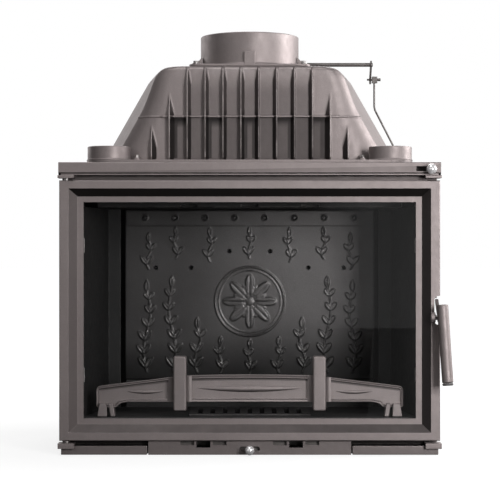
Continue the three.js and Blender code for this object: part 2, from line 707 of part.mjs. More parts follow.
function hood() {
  const ledgeZ = hoodBase + HOOD_LEDGE_HEIGHT;
  const bayHalf = (HOOD_RIB_PITCH - HOOD_RIB_THICKNESS) / 2;
  const bays = [-4, -2, 0, 2, 4].map((step) => {
    const x = step * HOOD_RIB_PITCH;
    return {
      pocket: block([x - bayHalf, x + bayHalf], [hoodFrontY - 1, hoodFrontY + BAY_DEPTH],
        [hoodBase + BAY_BOTTOM, ledgeZ]),
      backing: block([x - bayHalf - HOOD_WALL, x + bayHalf + HOOD_WALL],
        [hoodFrontY, hoodFrontY + BAY_DEPTH + HOOD_WALL], [hoodBase - 6, ledgeZ + HOOD_WALL]),
    };
  });
  const ledgeHalf = hoodRibX[hoodRibX.length - 1] - HOOD_RIB_PITCH * 0.5;
  const ledge = prism('x', [
    [hoodFrontY + 4, ledgeZ - 6],
    [hoodFrontY, ledgeZ - 4],
    [hoodFrontY - 4, ledgeZ],
    [hoodFrontY, ledgeZ + 4],
    [hoodFrontY + 4, ledgeZ + 4],
  ], -ledgeHalf, ledgeHalf);
  const lugX = (side) => [side * hoodBoltX - HOOD_LUG_WIDTH / 2, side * hoodBoltX + HOOD_LUG_WIDTH / 2];
  const lugs = SIDES.flatMap(([, side]) => [
    block(lugX(side), [hoodBoltY - 8, hoodFrontY + 50],
      [hoodBase, hoodBase + lugHeight]),
    block(lugX(side), [hoodBackY - 50, hoodBackY + 23],
      [hoodBase, hoodBase + lugHeight]),
  ]);
  const ribs = hoodRibX.flatMap((x) => [hoodRib(-x), hoodRib(x)]);
  const outside = join([hoodBody(hoodOutside), ...ribs, ledge, ...lugs]);
  const room = cut(hoodBody(hoodInside), bays.map((bay) => bay.backing));
  const flueHole = rod([0, flueY, hoodTop - HOOD_WALL * 3], [0, flueY, hoodTop + 1], flueBore, 40);
  return cut(outside, [...bays.map((bay) => bay.pocket), room, flueHole]);
}

function flueCollar() {
  const foot = prism('z', roundedRectangle(
    [-FLUE_FOOT_WIDTH / 2, FLUE_FOOT_WIDTH / 2],
    [flueY - FLUE_FOOT_DEPTH / 2, flueY + FLUE_FOOT_DEPTH / 2], 12), flueBase, footTop, 3);
  const rim = flueBase + FLUE_HEIGHT;
  const tube = rod([0, flueY, flueBase], [0, flueY, rim], FLUE_RADIUS, 40);
  const lugHalf = FLUE_LUG_WIDTH / 2;
  const lug = block([-lugHalf, lugHalf],
    [flueY - FLUE_RADIUS - FLUE_LUG_REACH, flueY - flueBore - 1], [footTop - 1, footTop + FLUE_LUG_HEIGHT]);
  const gussets = SIDES.map(([, side]) => prism('y', [
    [side * (FLUE_RADIUS - 2), footTop - 1],
    [side * (FLUE_RADIUS + 14), footTop - 1],
    [side * (FLUE_RADIUS + 14), footTop + 2],
    [side * (FLUE_RADIUS - 2), footTop + 22],
  ], flueY - 34, flueY - 28));
  const bosses = SIDES.map(([, side]) => rod(
    [side * (flueBore + 2), flueY, shaftZ], [side * (FLUE_RADIUS + 8), flueY, shaftZ], 8.5, 16));
  const bore = rod([0, flueY, flueBase - 1], [0, flueY, rim + 1], flueBore, 40);
  const shaftHole = rod(
    [-FLUE_RADIUS - 20, flueY, shaftZ], [FLUE_RADIUS + 20, flueY, shaftZ], SHAFT_RADIUS + RUNNING, 16);
  return cut(join([foot, tube, lug, ...gussets, ...bosses]), [bore, shaftHole]);
}

function spigot(side) {
  const base = [side * spigotX, spigotY, padTop + SEAM];
  const rim = [base[0], base[1], base[2] + SPIGOT_HEIGHT];
  const inner = SPIGOT_RADIUS - SPIGOT_WALL;
  const below = [base[0], base[1], base[2] - 1];
  const seat = [base[0], base[1], rim[2] - LID_DROP - LID_THICKNESS - SEAM];
  const above = [base[0], base[1], rim[2] + 1];
  const passage = rod(below, above, spigotSeat, 32);
  const lidRoom = rod(seat, above, inner, 32);
  return cut(rod(base, rim, SPIGOT_RADIUS, 32), [passage, lidRoom]);
}

function spigotLid(side) {
  const top = padTop + SEAM + SPIGOT_HEIGHT - LID_DROP;
  const radius = SPIGOT_RADIUS - SPIGOT_WALL - SEAM;
  return rod([side * spigotX, spigotY, top - LID_THICKNESS], [side * spigotX, spigotY, top], radius, 32);
}

// ---------------------------------------------------------------- firebox

const linerBackY = firebackY + 5;

function firebackRelief() {
  const proud = [firebackY - RELIEF_HEIGHT, firebackY + 2];
  const middleZ = (FIREBACK_BOTTOM + FIREBACK_TOP) / 2 - 14;
  const leaves = [];
  for (const [, side] of SIDES) {
    for (const share of STEM_SHARES) {
      for (let pair = 0; pair < 5; pair += 1) {
        const z = FIREBACK_BOTTOM + 70 + pair * 46;
        for (const lean of [0.55, Math.PI - 0.55]) {
          const u = (side * share * FIREBACK_WIDTH) / 2 + Math.cos(lean) * 13;
          leaves.push(prism('y', leafOutline([u, z + 8], 30, 7, lean), ...proud, 3));
        }
      }
    }
  }
  const medallion = rod([0, proud[0], middleZ], [0, proud[1], middleZ], MEDALLION_RADIUS, 32);
  const dish = rod(
    [0, proud[0] - 1, middleZ], [0, firebackY, middleZ], MEDALLION_RADIUS - MEDALLION_RIM, 32);
  const petals = [];
  for (let i = 0; i < 8; i += 1) {
    const angle = (i / 8) * Math.PI * 2;
    const centre = [Math.cos(angle) * 29, middleZ + Math.sin(angle) * 29];
    petals.push(prism('y', leafOutline(centre, 38, 10, angle), ...proud, 3));
  }
  return join([...leaves, medallion.subtract(dish), ...petals]);
}

function fireback() {
  const half = FIREBACK_WIDTH / 2;
  const plate = block([-half, half], [firebackY, firebackBackY], [FIREBACK_BOTTOM, FIREBACK_TOP]);
  const bosses = [];
  const pitch = (FIREBACK_WIDTH - BOSS_MARGIN * 2) / (FIREBACK_BOSSES - 1);
  const bossZ = FIREBACK_TOP - BOSS_DROP;
  for (let i = 0; i < FIREBACK_BOSSES; i += 1) {
    const x = (i - (FIREBACK_BOSSES - 1) / 2) * pitch;
    bosses.push(rod([x, firebackY - 3, bossZ], [x, firebackY + 1, bossZ], BOSS_RADIUS, 12));
  }
  const holes = [];
  for (const [, side] of SIDES) {
    for (const [share, drop] of FIREBACK_HOLES) {
      const x = side * share * half;
      const z = FIREBACK_TOP - drop;
      holes.push(rod([x, firebackY - 9, z], [x, firebackBackY + 1, z], FIREBACK_HOLE_RADIUS, 10));
    }
  }
  return cut(join([plate, firebackRelief(), ...bosses]), holes);
}

function sideLiner(side) {
  const outline = [
    [linerFront, frameBackY + 2],
    [linerBack, linerBackY],
    [linerBack - LINER_FLANGE, linerBackY],
    [linerBack - LINER_FLANGE, linerBackY + LINER_THICKNESS],
    [linerBack + LINER_THICKNESS, linerBackY + LINER_THICKNESS],
    [linerFront + LINER_THICKNESS, frameBackY + 2],
  ];
  return prism('z', outline.map(([x, y]) => [side * x, y]), FLOOR_TOP + SEAM, LINER_TOP);
}

function baffle() {
  const bottom = LINER_TOP + SEAM;
  const frontY = firebackY - BAFFLE_REACH;
  const half = linerBack + LINER_THICKNESS + 2;
  const plate = block([-half, half], [frontY, firebackBackY], [bottom, bottom + BAFFLE_THICKNESS]);
  const notches = [-120, 0, 120].map((x) => block([x - 17, x + 17], [frontY - 1, frontY + 14],
    [bottom - 1, bottom + BAFFLE_THICKNESS * 0.5]));
  return cut(plate, notches);
}

const floorHalf = wallInner - 2;

function fireboxFloor() {
  const plate = block(
    [-floorHalf, floorHalf], [frameBackY + SEAM, firebackBackY], [floorBottom, FLOOR_TOP]);
  const upstand = block([-FIREBACK_WIDTH / 2, FIREBACK_WIDTH / 2], [firebackY, firebackBackY],
    [floorBottom, FIREBACK_BOTTOM - SEAM]);
  const well = block([-GRATE_WIDTH / 2, GRATE_WIDTH / 2], [grateFrontY, grateBackY],
    [floorBottom - 1, FLOOR_TOP + 1]);
  return cut(join([plate, upstand]), [well]);
}

function grate() {
  const half = GRATE_WIDTH / 2 - 1;
  const frontY = grateFrontY + 1;
  const depth = GRATE_DEPTH - 2;
  const body = block([-half, half], [frontY, frontY + depth], [floorBottom + 1, FLOOR_TOP + GRATE_RISE]);
  const rim = block([-half - 8, half + 8], [frontY - 8, frontY + depth + 8],
    [FLOOR_TOP + SEAM, FLOOR_TOP + GRATE_RISE]);
  const pitch = (half * 2) / GRATE_SLOTS;
  const slots = [];
  for (let i = 0; i < GRATE_SLOTS; i += 1) {
    const x = (i - (GRATE_SLOTS - 1) / 2) * pitch;
    slots.push(block([x - GRATE_SLOT_WIDTH / 2, x + GRATE_SLOT_WIDTH / 2],
      [frontY + 10, frontY + depth - 10], [floorBottom, FLOOR_TOP + GRATE_RISE + 1]));
  }
  return cut(join([body, rim]), slots);
}

function ashPan() {
  const bottom = BASE_THICKNESS + SEAM;
  const outer = block([-panHalf, panHalf], [panFrontY, panBackY], [bottom, bottom + PAN_HEIGHT]);
  const room = block([PAN_WALL - panHalf, panHalf - PAN_WALL], [panFrontY + PAN_WALL, panBackY - PAN_WALL],
    [bottom + PAN_WALL, bottom + PAN_HEIGHT + 1]);
  return outer.subtract(room);
}

// ---------------------------------------------------------------- log guard

function logGuard() {
  const barY = [faceY + GUARD_SETBACK, faceY + GUARD_SETBACK + GUARD_THICKNESS];
  const footTopZ = GUARD_BOTTOM + 4;
  const bar = [
    [-GUARD_HALF_LENGTH, footTopZ], [GUARD_HALF_LENGTH, footTopZ],
    [GUARD_HALF_LENGTH, GUARD_END_TOP - 9], [GUARD_HALF_LENGTH - 9, GUARD_END_TOP],
    [POST_OFFSET, GUARD_WING_TOP], [POST_OFFSET * 0.5, GUARD_MIDDLE_TOP - 0.8], [0, GUARD_MIDDLE_TOP],
    [-POST_OFFSET * 0.5, GUARD_MIDDLE_TOP - 0.8], [-POST_OFFSET, GUARD_WING_TOP],
    [9 - GUARD_HALF_LENGTH, GUARD_END_TOP], [-GUARD_HALF_LENGTH, GUARD_END_TOP - 9],
  ];
  const parts = [
    prism('y', bar, ...barY),
    block([8 - GUARD_HALF_LENGTH, GUARD_HALF_LENGTH - 8], barY, [GUARD_BOTTOM, footTopZ + 1]),
  ];
  const panels = [];
  for (const [, side] of SIDES) {
    const post = side * POST_OFFSET;
    parts.push(prism('x', [
      [barY[0] - POST_REACH + 6, POST_BOTTOM], [barY[1], POST_BOTTOM], [barY[1], POST_TOP],
      [barY[0] - POST_REACH + 3, POST_TOP], [barY[0] - POST_REACH, POST_TOP - 3],
      [barY[0] - POST_REACH, POST_BOTTOM + 8],
    ], post - POST_WIDTH / 2, post + POST_WIDTH / 2));
    const inner = POST_OFFSET - POST_WIDTH / 2;
    parts.push(prism('y', [
      [inner + 1, POST_TOP - 10], [inner - 4, GUARD_WING_TOP + 14], [inner - 14, GUARD_WING_TOP + 5],
      [inner - 28, GUARD_WING_TOP], [inner + 1, GUARD_WING_TOP - 4],
    ].map(([x, z]) => [side * x, z]), ...barY));
    const toe = GUARD_HALF_LENGTH - 2;
    const soleZ = FLOOR_TOP + SEAM;
    parts.push(prism('y', [
      [toe - 44, footTopZ], [toe - 36, GUARD_BOTTOM - 6], [toe - 32, soleZ], [toe - 21, soleZ],
      [toe - 17, soleZ + 8], [toe - 13, soleZ], [toe - 2, soleZ], [toe, GUARD_BOTTOM - 6], [toe, footTopZ],
    ].map(([x, z]) => [side * x, z]), barY[0] - FOOT_DEPTH / 3, barY[0] + FOOT_DEPTH * 2 / 3));
    const wingMiddle = (POST_OFFSET + POST_WIDTH / 2 + GUARD_HALF_LENGTH) / 2;
    const wingHalf = wingMiddle - inner - POST_WIDTH - 12;
    panels.push({ middle: side * wingMiddle, half: wingHalf, top: GUARD_END_TOP - 8 });
  }
  panels.push({ middle: 0, half: POST_OFFSET - POST_WIDTH / 2 - 12, top: GUARD_WING_TOP - 8 });
  const recesses = panels.map(({ middle, half, top }) => block(
    [middle - half, middle + half], [barY[0] - 1, barY[0] + 3], [GUARD_BOTTOM + 8, top]));
  const ridges = panels.map(({ middle, half, top }) => prism('y', leafOutline(
    [middle, (GUARD_BOTTOM + 8 + top) / 2], half * 1.7, 7, 0), barY[0], barY[0] + 5, 5));
  return cut(join(parts), recesses).add(join(ridges));
}

// ---------------------------------------------------------------- door

const glassInsetSide = SIDE_BAND + SIDE_SLOPE + SIDE_LIP - GLASS_BEARING;
const glassInsetRail = RAIL_BAND + RAIL_SLOPE + RAIL_LIP - GLASS_BEARING;
const tapeY = lipBackY + SEAM;
const glassY = tapeY + GASKET_TAPE + SEAM;
const ropeHalf = ROPE_SIZE / 2;
const ropeY = doorBackY + ROPE_PROUD - ropeHalf;
const notchX = doorHalf - NOTCH_DEPTH;

function doorFrame() {
  const landY = doorFrontY + DOOR_EDGE_THICKNESS;
  const slopeY = doorFrontY + SLOPE_DEPTH;
  const lipInset = [SIDE_BAND + SIDE_SLOPE + SIDE_LIP, RAIL_BAND + RAIL_SLOPE + RAIL_LIP];
  const rebate = [glassInsetSide - 2, glassInsetRail - 2];
  const groove = ropeHalf + 0.6;
  const grooveY = ropeY - ropeHalf - 0.6;
  const section = [
    [0, 0, landY],
    [0, 0, doorFrontY + DOOR_CHAMFER],
    [DOOR_CHAMFER, DOOR_CHAMFER, doorFrontY],
    [SIDE_BAND, RAIL_BAND, doorFrontY],
    [SIDE_BAND + SIDE_SLOPE, RAIL_BAND + RAIL_SLOPE, slopeY],
    [lipInset[0], lipInset[1], slopeY],
    [lipInset[0], lipInset[1], lipBackY],
    [rebate[0], rebate[1], lipBackY],
    [rebate[0], rebate[1], doorBackY],
    [ROPE_INSET + groove, ROPE_INSET + groove, doorBackY],
    [ROPE_INSET + groove, ROPE_INSET + groove, grooveY],
    [ROPE_INSET - groove, ROPE_INSET - groove, grooveY],
    [ROPE_INSET - groove, ROPE_INSET - groove, doorBackY],
    [DOOR_EDGE_STEP, DOOR_EDGE_STEP, doorBackY],
    [DOOR_EDGE_STEP, DOOR_EDGE_STEP, landY],
  ];
  const frame = mitredFrame(section, doorHalf, DOOR_BOTTOM, doorTop);
  const notchMiddle = (NOTCH_BOTTOM + NOTCH_TOP) / 2;
  const notchHalf = (NOTCH_TOP - NOTCH_BOTTOM) / 2;
  const notchOutline = roundedRectangle(
    [notchX, doorHalf + 20], [notchMiddle - notchHalf, notchMiddle + notchHalf], 8);
  const notch = prism('y', notchOutline, doorFrontY - 1, doorBackY + 1, 4);
  const bores = [[DOOR_BOTTOM - 1, DOOR_BOTTOM + HINGE_PIN_REACH], [doorTop - HINGE_PIN_REACH, doorTop + 1]]
    .map(([z0, z1]) => rod([hingeX, hingeY, z0], [hingeX, hingeY, z1], HINGE_PIN_RADIUS + RUNNING, 20));
  return cut(frame, [notch, ...bores]);
}

/** A flat ring with a rectangular section round the door's window. */
function windowRing(insetSide, insetRail, width, y0, y1) {
  return mitredFrame([
    [insetSide, insetRail, y0],
    [insetSide + width, insetRail + width, y0],
    [insetSide + width, insetRail + width, y1],
    [insetSide, insetRail, y1],
  ], doorHalf, DOOR_BOTTOM, doorTop);
}

function ropeSeal() {
  const section = [];
  for (let i = 0; i < 10; i += 1) {
    const angle = (i / 10) * Math.PI * 2;
    const inset = ROPE_INSET + Math.cos(angle) * ropeHalf;
    section.push([inset, inset, ropeY + Math.sin(angle) * ropeHalf]);
  }
  return mitredFrame(section, doorHalf, DOOR_BOTTOM, doorTop);
}

function glassClip(side, z) {
  const outer = doorHalf - ROPE_INSET - ropeHalf - 1.5;
  const inner = doorHalf - glassInsetSide - 9;
  const clipY = doorBackY + SEAM;
  const strap = block(span(side * inner, side * outer), [clipY, clipY + 1.6], [z - 14, z + 14]);
  const screw = rod([side * (outer - 4), clipY + 1, z], [side * (outer - 4), clipY + 2.6, z], 3, 8);
  return strap.add(screw);
}

/** A lug that reaches from the front frame to the hinge axis. */
function hingeLug(side, outline, bored) {
  const x = side * Math.abs(hingeX);
  const plate = prism('x', outline, x - LUG_WIDTH / 2, x + LUG_WIDTH / 2);
  const heights = outline.map(([, z]) => z);
  const bore = rod([x, hingeY, Math.min(...heights) - 1], [x, hingeY, Math.max(...heights) + 1],
    HINGE_PIN_RADIUS + SEAM, 20);
  return bored ? plate.subtract(bore) : plate;
}

const lowerLugTop = DOOR_BOTTOM - 4.8;
const lowerLug = [
  [faceY - SEAM, frameBottom], [faceY - SEAM, lowerLugTop], [doorFrontY - 1, lowerLugTop],
  [doorFrontY - 1, RAIL_HEIGHT - 5], [railFrontY - SEAM, RAIL_HEIGHT - 5], [railFrontY - SEAM, frameBottom],
];
const upperLugBottom = doorTop + 4.4;
const upperLugTop = ROOF_HEIGHT - SEAM;
const upperLug = [
  [faceY - SEAM, upperLugBottom], [faceY - SEAM, upperLugTop], [doorFrontY - 1.5, upperLugTop],
  [doorFrontY - 2.5, upperLugTop - 1], [doorFrontY - 2.5, upperLugBottom],
];

function lowerPin() {
  const top = DOOR_BOTTOM + HINGE_PIN_REACH - 3;
  const shank = rod([hingeX, hingeY, frameBottom + SEAM], [hingeX, hingeY, top], HINGE_PIN_RADIUS, 20);
  const collar = rod([hingeX, hingeY, lowerLugTop + SEAM], [hingeX, hingeY, DOOR_BOTTOM - SEAM],
    HINGE_PIN_RADIUS + 3, 20);
  return shank.add(collar);
}

function upperPin() {
  const shank = rod([hingeX, hingeY, doorTop - HINGE_PIN_REACH + 3], [hingeX, hingeY, plateTop - 2],
    HINGE_PIN_RADIUS, 20);
  const head = rod([hingeX, hingeY, upperLugTop + SEAM], [hingeX, hingeY, plateTop - 2],
    HINGE_PIN_RADIUS + 2, 20);
  return shank.add(head);
}

// ---------------------------------------------------------------- handle

const notchClear = 5.1; // lever's left face, from the notch's wall
const leverX = [notchX + notchClear, notchX + notchClear + LEVER_THICKNESS];
const noseY = faceY + NOSE_REACH;

/** A point on the grip's axis, at a height above the spindle. */
function gripPoint(rise) {
  return [
    GRIP_X - rise * Math.tan(THREE.MathUtils.degToRad(GRIP_OUTWARD)),
    pivotY - GRIP_REACH + rise * Math.tan(THREE.MathUtils.degToRad(GRIP_FORWARD)),
    PIVOT_HEIGHT + rise,
  ];
}

function handleBoss() {
  const outline = new THREE.Shape();
  outline.moveTo(doorFrontY - SEAM, PIVOT_HEIGHT + 10);
  outline.lineTo(pivotY, PIVOT_HEIGHT + 10);
  outline.absarc(pivotY, PIVOT_HEIGHT, 10, Math.PI / 2, Math.PI * 1.5);
  outline.lineTo(doorFrontY - SEAM, PIVOT_HEIGHT - 10);
  const body = prism('x', outline, doorHalf - SIDE_BAND - 1, notchX + 0.8);
  const bore = rod([doorHalf - 40, pivotY, PIVOT_HEIGHT], [doorHalf + 10, pivotY, PIVOT_HEIGHT],
    SPINDLE_RADIUS + RUNNING, 20);
  return body.subtract(bore);
}

function handleLever() {
  const hub = [pivotY, PIVOT_HEIGHT];
  const nose = [noseY - LEVER_HALF_WIDTH, PIVOT_HEIGHT + LEVER_RISE];
  const parts = [
    prism('x', barOutline(hub, nose, LEVER_HALF_WIDTH), ...leverX),
    prism('x', barOutline([pivotY - GRIP_REACH + GRIP_RADIUS / 2, PIVOT_HEIGHT], hub, 8.5), ...leverX),
  ];
  const gripRoom = rod(gripPoint(-GRIP_LENGTH), gripPoint(GRIP_ABOVE_PIVOT * 2), GRIP_RADIUS + SEAM, 32);
  const bore = rod([leverX[0] - 1, pivotY, PIVOT_HEIGHT], [leverX[1] + 1, pivotY, PIVOT_HEIGHT],
    SPINDLE_RADIUS + SEAM, 20);
  return cut(join(parts), [gripRoom, bore]);
}

function latchKeeper() {
  const bottom = PIVOT_HEIGHT + LEVER_RISE + LEVER_HALF_WIDTH + 1.5;
  const topZ = latchPocket.top - SEAM;
  return prism('x', [
    [faceY + SEAM, bottom + 4],
    [faceY + SEAM, topZ],
    [frameBackY, topZ],
    [frameBackY, bottom],
    [faceY + 5, bottom],
  ], latchPocket.inner + SEAM, frontHalf - SEAM);
}

// ---------------------------------------------------------------- damper linkage

const crankX = SHAFT_RIGHT - CRANK_THICKNESS - 2;
const swing = THREE.MathUtils.degToRad(CRANK_HALF_SWING);
const wireY = flueY + CRANK_LEVER * Math.tan(swing);
const clampZ = shaftZ - CRANK_LEVER;
const wireX = crankX + CRANK_THICKNESS + 7;

function damperPlate() {
  const radius = flueBore - DAMPER_GAP;
  const discZ = [shaftZ - DAMPER_THICKNESS / 2, shaftZ + DAMPER_THICKNESS / 2];
  const disc = rod([0, flueY, discZ[0]], [0, flueY, discZ[1]], radius, 36);
  const hub = rod([-radius + 4, flueY, shaftZ], [radius - 4, flueY, shaftZ], DAMPER_HUB_RADIUS, 16);
  const bore = rod([-radius, flueY, shaftZ], [radius, flueY, shaftZ], SHAFT_RADIUS + SEAM, 16);
  const vents = SIDES.map(([, side]) => {
    const ventY = flueY + side * DAMPER_VENT_OFFSET;
    return rod([0, ventY, shaftZ - 10], [0, ventY, shaftZ + 10], DAMPER_VENT_RADIUS, 20);
  });
  return cut(join([disc, hub]), [bore, ...vents]);
}

/** The crank's outlines are drawn straight down from the shaft, then turned back to the closed place. */
function damperCrank() {
  const reach = CRANK_LEVER / Math.cos(swing);
  const arm = prism('x', barOutline([0, 0], [0, -reach - 1], CRANK_WIDTH / 2), 0, CRANK_THICKNESS);
  const slotOutline = barOutline([0, 1 - CRANK_LEVER], [0, -reach], CRANK_SLOT / 2);
  const slot = prism('x', slotOutline, -1, CRANK_THICKNESS + 1);
  const bore = rod([-1, 0, 0], [CRANK_THICKNESS + 1, 0, 0], SHAFT_RADIUS + SEAM, 16);
  return cut(arm, [slot, bore]);
}

function wirePath() {
  return bentPath([
    [crankX - 2, wireY, clampZ],
    [wireX, wireY, clampZ],
    [wireX, wireY, clampZ - WIRE_KNEE],
    [WIRE_KINK_X, wireY, clampZ - WIRE_KINK_DROP],
    [WIRE_TURN_X, wireY, wireZ],
    [WIRE_KNOB_X, wireY - WIRE_FORWARD_RUN, wireZ],
    [WIRE_KNOB_X, lipFrontY - WIRE_KNOB_GAP - DAMPER_KNOB_RADIUS * 0.6, wireZ],
  ], 6);
}

// ---------------------------------------------------------------- assembly

const insert = new THREE.Group();
const body = new THREE.Group();
const door = new THREE.Group();
const handle = new THREE.Group();
const damper = new THREE.Group();
const pull = new THREE.Group();
const air = new THREE.Group();
insert.add(body, door, damper, pull, air);
door.add(handle);

add(body, 'base_plate', basePlate(), 'iron');
add(body, 'air_cover', airCover(), 'iron');
add(body, 'front_frame', frontFrame(), 'iron');
add(body, 'back_wall', backWall(), 'iron');
add(body, 'top_plate', topPlate(), 'iron');
add(body, 'hood', hood(), 'iron');
add(body, 'flue_collar', flueCollar(), 'iron');
add(body, 'fireback', fireback(), 'dark_iron');
add(body, 'baffle', baffle(), 'dark_iron');
add(body, 'firebox_floor', fireboxFloor(), 'dark_iron');
add(body, 'grate', grate(), 'dark_iron');
add(body, 'ash_pan', ashPan(), 'steel');
add(body, 'log_guard', logGuard(), 'iron');
add(body, 'latch_keeper', latchKeeper(), 'iron');
for (const [name, side] of SIDES) {
  add(body, `side_wall_${name}`, sideWall(side), 'iron');
  add(body, `side_liner_${name}`, sideLiner(side), 'dark_iron');
  add(body, `hot_air_collar_${name}`, spigot(side), 'iron');
  add(body, `collar_lid_${name}`, spigotLid(side), 'iron');
}
add(body, 'hinge_lug_lower', hingeLug(-1, lowerLug, true), 'iron');
add(body, 'hinge_lug_upper', hingeLug(-1, upperLug, true), 'iron');
add(body, 'plain_lug_lower', hingeLug(1, lowerLug, false), 'iron');
add(body, 'plain_lug_upper', hingeLug(1, upperLug, false), 'iron');
add(body, 'hinge_pin_lower', lowerPin(), 'steel');
add(body, 'hinge_pin_upper', upperPin(), 'steel');

const hoodSeat = hoodBase + lugHeight + SEAM;
const flueBoltX = FLUE_FOOT_WIDTH / 2 - FLUE_BOLT_INSET;
const flueBoltY = FLUE_FOOT_DEPTH / 2 - FLUE_BOLT_INSET;
for (const [name, side] of SIDES) {
  for (const [row, y, flueRow] of [['front', hoodBoltY, -1], ['back', hoodBackY + 15, 1]]) {
    const hoodBolt = add(body, `hood_bolt_${row}_${name}`, boltHead(4.2, 6), 'steel');
    hoodBolt.position.set(side * hoodBoltX, y, hoodSeat);
    const flueBolt = add(body, `flue_bolt_${row}_${name}`, boltHead(5.5, 6), 'steel');
    flueBolt.position.set(side * flueBoltX, flueY + flueRow * flueBoltY, footTop + SEAM);
  }
}

add(door, 'door_frame', doorFrame(), 'iron');
add(door, 'door_gasket', ropeSeal(), 'rope');
const tape = windowRing(glassInsetSide, glassInsetRail, GLASS_BEARING, tapeY, tapeY + GASKET_TAPE);
add(door, 'glass_gasket', tape, 'rope');
add(door, 'door_glass', block(
  [glassInsetSide - doorHalf, doorHalf - glassInsetSide],
  [glassY, glassY + GLASS_THICKNESS],
  [DOOR_BOTTOM + glassInsetRail, doorTop - glassInsetRail]), 'glass');
for (const [name, side] of SIDES) {
  for (const [row, share] of [['lower', 0.25], ['upper', 0.75]]) {
    add(door, `glass_clip_${row}_${name}`, glassClip(side, DOOR_BOTTOM + DOOR_HEIGHT * share), 'steel');
  }
}
add(door, 'handle_boss', handleBoss(), 'iron');

const spindleX = [doorHalf - SIDE_BAND, leverX[1] + 0.5];
const gripDown = GRIP_ABOVE_PIVOT - GRIP_LENGTH;
const gripEnds = [gripPoint(gripDown + CAP_LENGTH + SEAM), gripPoint(GRIP_ABOVE_PIVOT)];
const capEnds = [gripPoint(gripDown), gripPoint(gripDown + CAP_LENGTH)];
add(handle, 'handle_spindle', rod(
  [spindleX[0], pivotY, PIVOT_HEIGHT], [spindleX[1], pivotY, PIVOT_HEIGHT], SPINDLE_RADIUS, 20), 'steel');
add(handle, 'handle_lever', handleLever(), 'iron');
add(handle, 'handle_grip', rod(...gripEnds, GRIP_RADIUS, 32), 'iron');
add(handle, 'handle_cap', rod(...capEnds, GRIP_RADIUS - 1.5, 32, GRIP_RADIUS - 0.2), 'dark_iron');

add(damper, 'damper_plate', damperPlate(), 'dark_iron');
add(damper, 'damper_shaft', rod(
  [-SHAFT_LEFT, flueY, shaftZ], [SHAFT_RIGHT, flueY, shaftZ], SHAFT_RADIUS, 16), 'steel');
const crank = add(damper, 'damper_crank', damperCrank(), 'steel');
crank.position.set(crankX, flueY, shaftZ);
crank.rotation.x = swing;

const path = wirePath();
const clampBlock = block(
  [crankX + CRANK_THICKNESS + 2, wireX + 6], [wireY - 6, wireY + 6], [clampZ - 7, clampZ + 6]);
add(pull, 'pull_wire', wire(path, WIRE_RADIUS, 78), 'steel');
add(pull, 'wire_clamp', clampBlock.subtract(wire(path, WIRE_RADIUS + SEAM, 78)), 'steel');
add(pull, 'clamp_screw', rod(
  [wireX + 6 + SEAM, wireY, clampZ], [wireX + 13, wireY, clampZ], 3, 12), 'steel');
const damperKnob = new THREE.SphereGeometry(DAMPER_KNOB_RADIUS, 16, 12);
const damperKnobY = lipFrontY - WIRE_KNOB_GAP - DAMPER_KNOB_RADIUS;
damperKnob.rotateX(Math.PI / 2);
damperKnob.translate(WIRE_KNOB_X, damperKnobY, wireZ);
const damperKnobBore = rod(
  [WIRE_KNOB_X, damperKnobY + 3, wireZ], [WIRE_KNOB_X, lipFrontY, wireZ], WIRE_RADIUS + SEAM, 12);
add(pull, 'damper_knob', solidOf(damperKnob).subtract(damperKnobBore), 'chrome');

const airStemTip = railFrontY - AIR_STEM_LENGTH;
const airKnob = new THREE.SphereGeometry(KNOB_RADIUS, 16, 12);
airKnob.rotateX(Math.PI / 2);
airKnob.translate(0, airStemTip - KNOB_RADIUS * 0.7, KNOB_HEIGHT);
add(air, 'air_slider', airSlider(), 'steel');
add(air, 'air_knob_stem', rod(
  [0, airStemTip, KNOB_HEIGHT], [0, sliderY - SEAM, KNOB_HEIGHT], STEM_RADIUS, 16), 'steel');
const airKnobBore = rod(
  [0, airStemTip - SEAM, KNOB_HEIGHT], [0, railFrontY, KNOB_HEIGHT], STEM_RADIUS + SEAM, 12);
add(air, 'air_knob', solidOf(airKnob).subtract(airKnobBore), 'chrome');

export default insert;
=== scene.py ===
# %% [markdown]
# # A cast-iron fireplace insert
#
# A fireplace insert is a stove without a cabinet: a firebox of iron castings that is built into a
# chimney breast, with a glazed door in front and a smoke hood and a flue collar on top. The packed
# model is loaded first and stays fixed. Every piece below takes its place from it, in its frame:
# X to the right, Y to the back, Z up, and the door faces -Y.

# %% Load the frame
import json
import math

